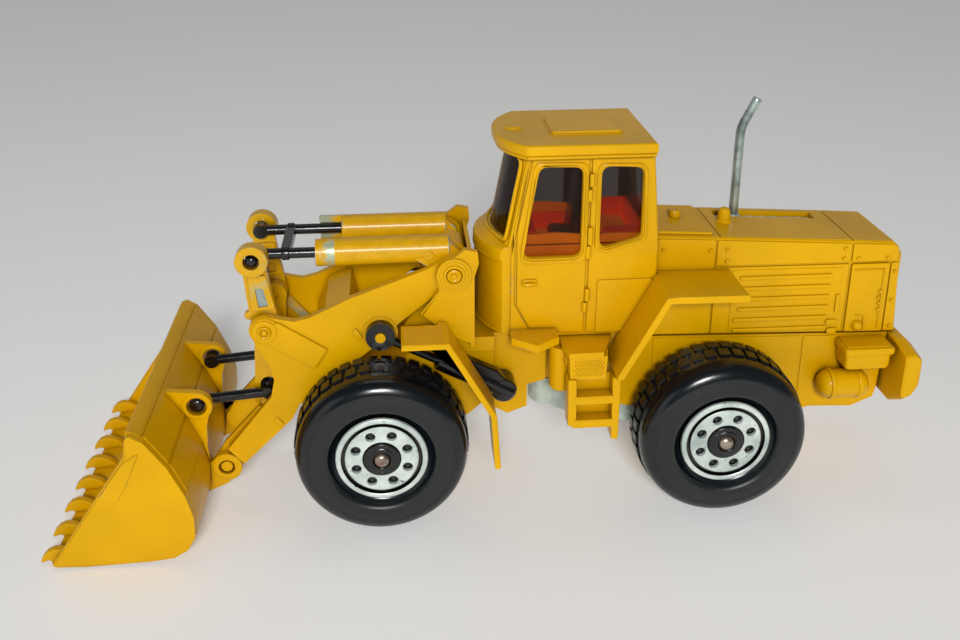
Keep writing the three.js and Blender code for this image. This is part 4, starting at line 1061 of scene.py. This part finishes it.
def side_fittings(name, side):
    """Battery box, air tank, rear fender, ladder and door platform of one side."""
    p = Piece()
    rows = []
    for z, x0, x1, y1 in ((25.5, -82.5, -74.5, 13.0), (25.8, -82.85, -74.2, 13.4), (26.4, -83.0, -74.0, 13.6),
            (29.8, -83.1, -73.8, 13.8)):
        ring = fillet(box(x0, x1, 8.5, y1), [0, 0, 0.8, 0.8], 3)
        rows.append([(x, side * y, z) for x, y in ring])
    p.loft(rows)
    lid = fillet(box(-83.45, -73.45, 8.5, 14.2), [0, 0, 0.6, 0.6], 3)
    lid = [(x, side * y) for x, y in lid]
    p.slab(lid, "z", 29.1, 30.5, PAINT, 0.25)
    crown = [(x, side * y) for x, y in fillet(box(-82.9, -74.0, 8.5, 13.5), [0, 0, 0.5, 0.5], 3)]
    p.slab(crown, "z", 30.3, 30.75, PAINT, 0.16)
    p.finish(f"battery_box_{name}", "rear_frame")

    p = Piece()
    end = [(0, 0), (0.9, 0.08), (1.9, 0.5), (2.5, 1.15), (2.75, 1.75), (2.78, 1.95), (3.05, 2.05), (3.12, 2.3),
        (3.12, 2.55), (3.05, 2.8), (2.87, 2.9)]
    profile = spindle(end, -79.95, -69.6)
    p.lathe(profile, (0, side * 11.4, 21.7), (1, 0, 0), PAINT, 48)
    p.block(-76.4, -72.0, *span(side, 8.45, 11.0), 20.9, 23.3, PAINT, 0.2)
    p.finish(f"air_tank_{name}", "rear_frame", sharp=40)

    p = Piece().cad(f"rear_fender_{name}", PAINT, 0.25)
    edge = [(-50.2, 46.55), (-36.9, 46.7), (-35.2, 46.6), (-26.7, 30.8)]
    p.line(edge, side * 21.1, 0.22, PAINT, 10, 1)
    p.finish(f"rear_fender_{name}", "rear_frame")

    p = Piece()
    shelf = fillet([(-17.2, 9.6), (-27.6, 9.6), (-27.6, 10.3), (-24.6, 17.85), (-18.0, 17.85), (-17.2, 14.0)], 0.3, 2)
    p.slab([(x, side * y) for x, y in shelf], "z", 33.2, 34.3, PAINT, 0.25)
    p.block(-26.0, -17.8, *span(side, 8.5, 15.1), 30.4, 33.4, PAINT, 0.2)
    for inner, outer, outline in ((14.6, 17.7, [(-18.1, 33.6), (-18.3, 28.6), (-25.2, 28.5), (-25.5, 33.6)]),
            (14.7, 18.15, [(-17.9, 28.9), (-18.1, 18.9), (-19.8, 18.7), (-19.6, 28.9)]),
            (14.7, 18.15, [(-26.4, 29.2), (-26.6, 15.6), (-28.0, 15.5), (-28.1, 29.2)])):
        p.plate(fillet(outline, 0.4, 3), side, inner, outer, PAINT, 0.28)
    p.block(-28.0, -18.2, *span(side, 14.5, 15.4), 18.6, 28.7, PAINT, 0.15)
    for z in (25.2, 20.1):
        tread = [(side * y, level) for y, level in ((14.7, z - 1.8), (18.1, z - 1.8), (18.2, z), (14.7, z))]
        p.slab(fillet(tread, 0.35, 2), "x", -27.2, -19.0, PAINT, 0.1)
        spots = [(-20.0 - 0.75 * i, side * (15.6 + 0.62 * j), z) for i in range(9) for j in range(4)]
        p.studs(spots, (0, 0, 1), 0.18, 0.14, PAINT)
        p.line([(-19.4, z - 0.12), (-26.7, z - 0.12)], side * 18.1, 0.22, PAINT_WORN, 8, 1)
    studs = [(-19.3 - 0.62 * i - (0.31 if j % 2 else 0), side * 17.7, 32.6 - 0.5 * j) for i in range(9)
        for j in range(7)]
    p.studs(studs, (0, side, 0), 0.2, 0.18, PAINT)
    p.tube([(-17.5, side * 14.2, 34.2), (-18.2, side * 17.65, 34.2), (-24.5, side * 17.65, 34.2),
        (-27.4, side * 10.4, 34.2)], 0.2, PAINT_WORN, 8, 1)
    p.lathe([(0, 23.9), (1.9, 23.9), (2.3, 24.5), (2.35, 33.3), (0, 33.3)], (-17.6, side * 11.6, 0), (0, 0, 1), PAINT,
        32)
    p.finish(f"ladder_{name}", "rear_frame")

    p = Piece().cad(f"door_platform_{name}", PAINT_WORN, 0.22)
    spots = []
    for i in range(13):
        for j in range(10):
            x, y = -8.2 - 0.64 * i - (0.32 if j % 2 else 0), 10.9 + 0.62 * j
            far = 14.3 + (17.3 - 14.3) * (1 - abs(x + 12.0) / 4.6)
            if y < far - 0.5 and x > -16.3:
                spots.append((x, side * y, 36.3))
    p.studs(spots, (0, 0, 1), 0.2, 0.16, PAINT_WORN)
    front = [(-7.7, side * 14.5, 36.2), (-12.0, side * 17.75, 36.2), (-16.4, side * 14.7, 36.2)]
    p.tube(front, 0.24, PAINT_WORN, 8, 1)
    p.finish(f"door_platform_{name}", "rear_frame")


cab()
roof()
interior()
glazing()
engine_hood()
engine_and_exhaust()
chassis()
for side_name, side_sign in sides():
    side_fittings(side_name, side_sign)
Piece().cad("base_plate", ZINC, 0.2).finish("base_plate", "rear_frame", sharp=32)
Piece().cad("steering_pin", STEEL, 0.1).finish("steering_pin", "rear_frame", "turned", 32)


# ---------------------------------------------------------------- front frame
def front_frame():
    """Front frame with the bosses at the boom pin, and the pin."""
    p = Piece().cad("front_frame", PAINT, 0.25)
    for _, side in sides():
        rings(p, PIVOT["boom"], 12.1, side, [(3.1, 0.3), (2.7, 0.5)], PAINT)
        face = 12.5
        p.plate(circle(PIVOT["boom"], 2.05, 40), side, 12.2, face + 0.4, PAINT, 0.2,
            holes=[circle(PIVOT["boom"], 1.5, 32)])
        p.line([(9.2, 40.8), (5.7, 45.5), (6.3, 48.6)], side * 11.9, 0.2, PAINT, 8, 1)
    p.finish("front_frame", "front_frame")
    p = Piece()
    half = 13.1
    end = [(0, 0), (0.45, 0.02), (0.5, 0.2), (0.62, 0.2), (0.95, 0), (1.3, 0.15), (1.45, 0.5)]
    profile = spindle(end, -half, half)
    p.lathe(profile, (PIVOT["boom"][0], 0, PIVOT["boom"][1]), (0, 1, 0), PAINT, 36)
    p.finish("boom_pin", "front_frame", "turned")


def front_fender(name, side):
    """Front fender with a studded top."""
    p = Piece().cad(f"front_fender_{name}", PAINT, 0.28)
    spots = [(5.7 + 0.52 * i + (0.26 if j % 2 else 0), side * (14.6 + 0.5 * j), 39.4) for i in range(13)
        for j in range(13)]
    p.studs(spots, (0, 0, 1), 0.22, 0.13, PAINT_WORN)
    p.line([(13.0, 39.2), (4.6, 39.2), (-4.0, 23.9), (-4.8, 12.6)], side * 21.15, 0.22, PAINT, 8, 1)
    p.tube([(12.95, side * 14.0, 39.3), (12.95, side * 21.0, 39.3)], 0.2, PAINT, 8, 1)
    p.finish(f"front_fender_{name}", "front_frame")


# ---------------------------------------------------------------- boom and linkage
BOOM = 10.5
BARREL_R, BARREL_REAR, BARREL_FRONT, BARREL_BACK = 2.65, 3.5, 28.6, 4.4


def boom_plate(name, side):
    """One boom plate with its ribs and rings, and the crank rivet in it."""
    p = Piece().cad(f"boom_plate_{name}", PAINT, 0.25)
    bar = [(38.6, 37.9), (36.1, 39.7), (27.1, 33.6), (29.6, 29.7), (38.0, 35.2)]
    panel(p, side, bar, BOOM, 0.42, PAINT, 0.35, 0.16)
    rings(p, PIVOT["crank"], BOOM, side, [(2.7, 0.35), (2.3, 0.6)], PAINT)
    rib = [(22.3, 37.0), (21.6, 37.8), (20.4, 35.9), (21.2, 35.2)]
    panel(p, side, rib, BOOM, 0.3, PAINT, 0.15, 0.1)
    small = [(37.6, 19.3), (38.1, 18.3), (36.9, 17.1), (36.3, 17.8)]
    panel(p, side, small, BOOM, 0.22, PAINT, 0.1, 0.08)
    inner = [(37.6, 35.2), (36.0, 36.4), (31.5, 30.9), (32.9, 30.2)]
    p.plate(fillet(inner, 0.25, 2), side, 8.4, 9.0, RUBBED, 0.14, rub=1.0)
    p.plate(circle(PIVOT["lift"], 3.35, 44), side, BOOM - 0.3, BOOM + 0.22, PAINT, 0.15,
        holes=[circle(PIVOT["lift"], 2.0, 32)])
    p.finish(f"boom_plate_{name}", "boom")
    p = Piece()
    rivet = [(0, 5.2), (1.25, 5.2), (1.5, 5.5), (1.5, 10.9), (1.25, 11.25), (1.2, 11.5), (1.0, 11.62), (0.78, 11.5),
        (0.7, 11.3), (0.58, 11.3), (0.52, 11.5), (0.3, 11.62), (0, 11.65)]
    p.lathe(rivet, (PIVOT["crank"][0], 0, PIVOT["crank"][1]), (0, side, 0), PAINT, 36)
    p.finish(f"crank_rivet_{name}", "boom", "turned")


def bell_crank(name, side):
    """One bell crank, rubbed to metal around its slot and upper eye."""
    p = Piece().cad(f"bell_crank_{name}", RUBBED, 0.22)
    outer = [(41.2, 48.4), (41.0, 41.2), (36.5, 41.6), (37.9, 48.6)]
    slot = [(40.0, 45.9), (38.6, 45.9), (37.8, 42.3), (39.6, 42.0)]
    panel(p, side, outer, 8.7, 0.32, RUBBED, 0.5, 0.14, holes=[fillet(slot, 0.2, 2)], rub=0.8)
    inner = fillet(outer, 0.5, 3)
    p.plate(inner, side, 7.0, 7.35, RUBBED, 0.12, holes=[fillet(slot, 0.2, 2)])
    p.plate(fillet(slot, 0.2, 2), side, 8.5, 8.78, PIPE_METAL, 0.05)
    p.rod_y((41.6, 40.3), 0.85, *span(side, 7.4, 8.75), RUBBED, 0.3, 20, rub=0.6)
    ring = PIVOT["crank_top"]
    p.plate(circle(ring, 3.0, 44), side, 9.6, 9.98, RUBBED, 0.16, holes=[circle(ring, 1.75, 36)], rub=0.25)
    p.plate(circle(ring, 1.95, 36), side, 7.35, 9.8, RUBBED, 0.1, holes=[circle(ring, 1.55, 36)], rub=1.0)
    p.finish(f"bell_crank_{name}", f"bell_crank_{name}")


def tilt_barrel(name, side):
    """One tilt barrel: round at the rear, an open half round at the front, with its lug and saddle."""
    p = Piece()
    y, z, radius = 6.0, 51.7, BARREL_R
    cut = BARREL_FRONT - BARREL_BACK
    p.slab(circle((side * y, z), radius, 56), "x", BARREL_REAR, cut, BARREL, 0.3, steps=3)
    outer = [(y - 0.1, z - radius)] + arc((y, z), radius, -88, 88, 28)
    outer += [(y - 0.1, z + radius)] + arc((y, z - 0.5), 1.8, 88, -88, 18)
    outer = [(side * u, v) for u, v in outer]
    p.slab(outer, "x", cut - 0.3, BARREL_FRONT - 3.6, BARREL, 0.1, ends=(False, False))
    p.slab(outer, "x", BARREL_FRONT - 3.6, BARREL_FRONT, BARREL, 0.14, ends=(False, True), rub=1.0)
    lug = fillet([(1.2, 48.2), (4.8, 47.9), (9.4, 50.6), (9.6, 53.6), (4.4, 54.0), (1.4, 51.2)],
        [0.6, 0.3, 0.5, 0.5, 1.2, 1.2], 3)
    p.plate(lug, side, y - 1.1, y + 1.1, BARREL, 0.25)
    p.rod_y(PIVOT["boom"], 2.1, *span(side, y - 1.1, y + 1.1), BARREL, 0.25, 32)
    saddle = fillet([(3.4, 48.6), (6.6, 48.0), (10.2, 50.6), (9.6, 52.6), (4.6, 52.6)], [0.9, 0.9, 0.8, 0.5, 0.5], 3)
    p.plate(saddle, side, 7.2, 8.5, BARREL, 0.2)
    p.rod_y((7.5, 51.3), 0.95, *span(side, 8.2, 8.95), BARREL, 0.2, 24)
    p.finish(f"tilt_barrel_{name}", f"tilt_barrel_{name}")


def tilt_rods():
    """Both tilt rods with their collars and end balls."""
    p = Piece().cad("tilt_rods", BLACK, 0.12)
    for _, side in sides():
        y = side * 6.0
        p.rod((39.2, y, 51.7), (17.2, y, 51.7), 1.02, BLACK, 0.1, 28)
        p.rod((34.9, y, 51.7), (33.5, y, 51.7), 1.3, BLACK, 0.2, 24)
        p.ball((40.2, side * 9.2, 51.7), 1.15, BLACK, (1, 0.75, 1))
    p.finish("tilt_rods", "tilt_rods", "moulded", 40)


def lower_link():
    """Both lower link rods and their end balls."""
    p = Piece().cad("lower_link", BLACK, 0.12)
    for _, side in sides():
        a, b = Vector((39.6, side * 7.8, 23.35)), Vector((51.6, side * 7.8, 22.3))
        p.tube([a, b], 0.98, BLACK, 24, 1)
        p.ball((52.7, side * 9.6, 22.2), 1.35, BLACK, (1, 0.55, 1))
    p.finish("lower_link", "lower_link", "moulded", 40)


front_frame()
for side_name, side_sign in sides():
    front_fender(side_name, side_sign)
    boom_plate(side_name, side_sign)
    bell_crank(side_name, side_sign)
    tilt_barrel(side_name, side_sign)
tilt_rods()
lower_link()
Piece().cad("boom_web", PAINT, 0.3).finish("boom_web", "boom", sharp=32)
for side_name, side_sign in sides():
    p = Piece()
    foot, reach = (Vector((PIVOT[key][0], side_sign * 11.7, PIVOT[key][1])) for key in ("lift_base", "lift"))
    along = (reach - foot).normalized()
    profile = [(0, -2.3), (1.3, -2.3), (1.85, -1.7), (1.85, 12.4), (1.75, 14.3), (1.3, 14.3), (1.2, 13.0), (0, 13.0)]
    p.lathe(profile, foot, along, BLACK, 36)
    # Painted shade: a flat black fin along the upper side of the lift barrel fills the gap under the front fender
    # with dark.
    lower, upper = foot + along * 0.6, foot + along * 13.4
    lift = Vector((-along.z, 0, along.x))
    rib = [lower, upper, upper + lift * 2.6, upper + lift * 3.1 - along * 1.2, lower + lift * 3.2 + along * 2.4,
        lower + lift * 2.2]
    p.slab(fillet([(v.x, v.z) for v in rib], 0.6, 3), "y", *span(side_sign, 10.75, 12.9), BLACK, 0.4, steps=3)
    p.rod_y(PIVOT["lift_base"], 2.45, *span(side_sign, 8.4, 13.1), BLACK, 0.5, 32)
    p.finish(f"lift_barrel_{side_name}", f"lift_barrel_{side_name}", "moulded", 32)
    Piece().cad(f"lift_rod_{side_name}", BLACK, 0.16).finish(f"lift_rod_{side_name}", f"lift_rod_{side_name}",
        "moulded", 32)


# ---------------------------------------------------------------- bucket
SIDE_OUTLINE = [
    (77.4, 0.5), (61.9, 23.0), (61.7, 26.7), (60.9, 27.15), (58.65, 25.75), (55.1, 20.45), (52.4, 14.2), (51.3, 9.6),
    (51.5, 5.25), (53.1, 2.55), (55.65, 1.05), (60.0, 0.55), (71.5, 0.2),
]


def bucket():
    """Bucket shell, toothed lip, sides and mounting ears."""
    p = Piece().cad("bucket_shell", PAINT, 0.25)
    for x0, z0, x1, z1 in ((58.9, 26.2, 55.3, 20.7), (54.9, 20.2, 52.6, 14.6)):
        dx, dz = x1 - x0, z1 - z0
        length = math.hypot(dx, dz)
        nx, nz = dz / length, -dx / length
        strip = [(x0, z0), (x1, z1), (x1 + nx * 0.3, z1 + nz * 0.3), (x0 + nx * 0.3, z0 + nz * 0.3)]
        p.slab(strip, "y", -26.1, 26.1, PAINT, 0.1)
    p.tube([(61.4, y, 27.0) for y in (-26.0, -9, 9, 26.0)], 0.42, PAINT, 12, 1)
    p.finish("bucket_shell", "bucket", sharp=30)

    p = Piece()
    lip = [(71.8, 0.1), (77.9, 0.0), (77.9, 0.5), (71.8, 1.1)]
    p.slab(lip, "y", -26.2, 26.2, PAINT, 0.12)
    for i in range(8):
        y = -25.1 + 50.2 * i / 7
        claw = [(73.4, 1.0), (74.6, 2.2), (76.0, 2.95), (77.4, 3.1), (78.6, 2.6), (79.5, 1.7), (79.95, 0.7),
            (79.85, 0.3), (79.3, 0.55), (78.6, 0.75), (77.9, 0.45), (77.5, 0.25), (73.4, 0.3)]
        p.slab(fillet(claw, 0.25, 2), "y", y - 0.75, y + 0.75, PAINT, 0.22, steps=3)
    p.finish("bucket_teeth", "bucket", sharp=36)

    for name, side in sides():
        p = Piece()
        p.plate(fillet(SIDE_OUTLINE, 0.4, 2), side, 26.05, 27.5, PAINT, 0.16)
        edge = [(77.2, 0.7), (70.6, 10.4), (62.1, 22.8), (61.6, 26.0)]
        p.line(edge, side * 27.0, 0.32, PAINT_WORN, 10, 1)
        panel(p, side, [(67.7, 14.7), (62.6, 21.8), (59.6, 23.8), (62.8, 16.5), (64.5, 13.9)], 27.45, 0.24,
            PAINT_WORN, 0.2, 0.12)
        p.finish(f"bucket_side_{name}", "bucket")
        p = Piece().cad(f"bucket_ear_{name}", PAINT, 0.2)
        for key, hole in (("bucket", 1.6), ("link", 1.95)):
            p.plate(circle(PIVOT[key], 2.9, 44), side, 8.8, 10.5, PAINT, 0.2,
                holes=[circle(PIVOT[key], hole + 0.02, 36)])
        p.finish(f"bucket_ear_{name}", "bucket")


bucket()


# ---------------------------------------------------------------- floor, light, camera
def simple_material(name, colour, rough, glow):
    n = Nodes(name)
    tone = n.mix(n.noise(6, 3), tuple(c * 0.985 for c in colour), colour)
    return n.done(Base_Color=tone, Roughness=rough, Emission_Color=(*colour, 1), Emission_Strength=glow,
        Normal=n.bump(n.noise(1200, 2), 0.05, 0.00002), Specular_IOR_Level=0.1)


def set_stage():
    """Pale floor that curves up into a back wall."""
    mesh = bpy.data.meshes.new("floor")
    bm = bmesh.new()
    rows = []
    wall = 1.1
    for k in range(13):
        a = math.pi / 2 * k / 12
        rows.append((-wall - 0.35 * math.sin(a), 0.35 * (1 - math.cos(a)) - 0.0001))
    path = [(1.6, -0.0001)] + rows + [(-wall - 0.35, 1.6)]
    pairs = [[bm.verts.new((x, y, z)) for x in (-2.6, 2.6)] for y, z in path]
    for a, b in zip(pairs, pairs[1:]):
        bm.faces.new((a[0], a[1], b[1], b[0])).smooth = True
    bm.to_mesh(mesh)
    bm.free()
    floor = bpy.data.objects.new("floor", mesh)
    mesh.materials.append(simple_material("pale_floor", (0.84, 0.84, 0.83), 0.8, 0.24))
    bpy.context.scene.collection.objects.link(floor)


def area_light(name, place, target, size, power):
    light = bpy.data.lights.new(name, "AREA")
    light.shape = "RECTANGLE"
    light.size, light.size_y = size
    light.energy = power
    obj = bpy.data.objects.new(name, light)
    obj.location = place
    obj.rotation_euler = (Vector(target) - Vector(place)).to_track_quat("-Z", "Y").to_euler()
    bpy.context.scene.collection.objects.link(obj)


def set_camera():
    """Camera to the left of the object and above it."""
    data = bpy.data.cameras.new("camera")
    camera = bpy.data.objects.new("camera", data)
    right = Vector((-0.99665839, 0.08164129, -0.00259885))
    down = Vector((0.03021087, 0.33887383, -0.94034666))
    view = Vector((-0.07589043, -0.9372829, -0.3402079))
    data.sensor_width = 36
    data.lens = 37.725
    data.shift_x = 0.00559375
    data.shift_y = -0.1324479
    camera.matrix_world = Matrix.Translation((0.016929, 0.181771, 0.126392)) @ Matrix(((right.x, -down.x, -view.x, 0),
        (right.y, -down.y, -view.y, 0), (right.z, -down.z, -view.z, 0), (0, 0, 0, 1)))
    data.clip_start = 0.005
    data.clip_end = 20
    bpy.context.scene.collection.objects.link(camera)
    bpy.context.scene.camera = camera


set_stage()
set_camera()
area_light("key", (0.03, 0.60, 0.34), (0, 0, 0.03), (0.15, 0.11), 3.1)
area_light("fill", (0.55, 0.40, 0.22), (0, 0, 0.03), (0.4, 0.4), 0.35)
area_light("top", (0.0, -0.16, 0.62), (0, 0, 0.02), (0.42, 0.13), 0.22)
world = bpy.data.worlds.new("world")
bpy.context.scene.world = world
world.use_nodes = True
world.node_tree.nodes["Background"].inputs["Color"].default_value = (1, 1, 1, 1)
world.node_tree.nodes["Background"].inputs["Strength"].default_value = 0.10
bpy.context.scene.view_settings.view_transform = "Standard"
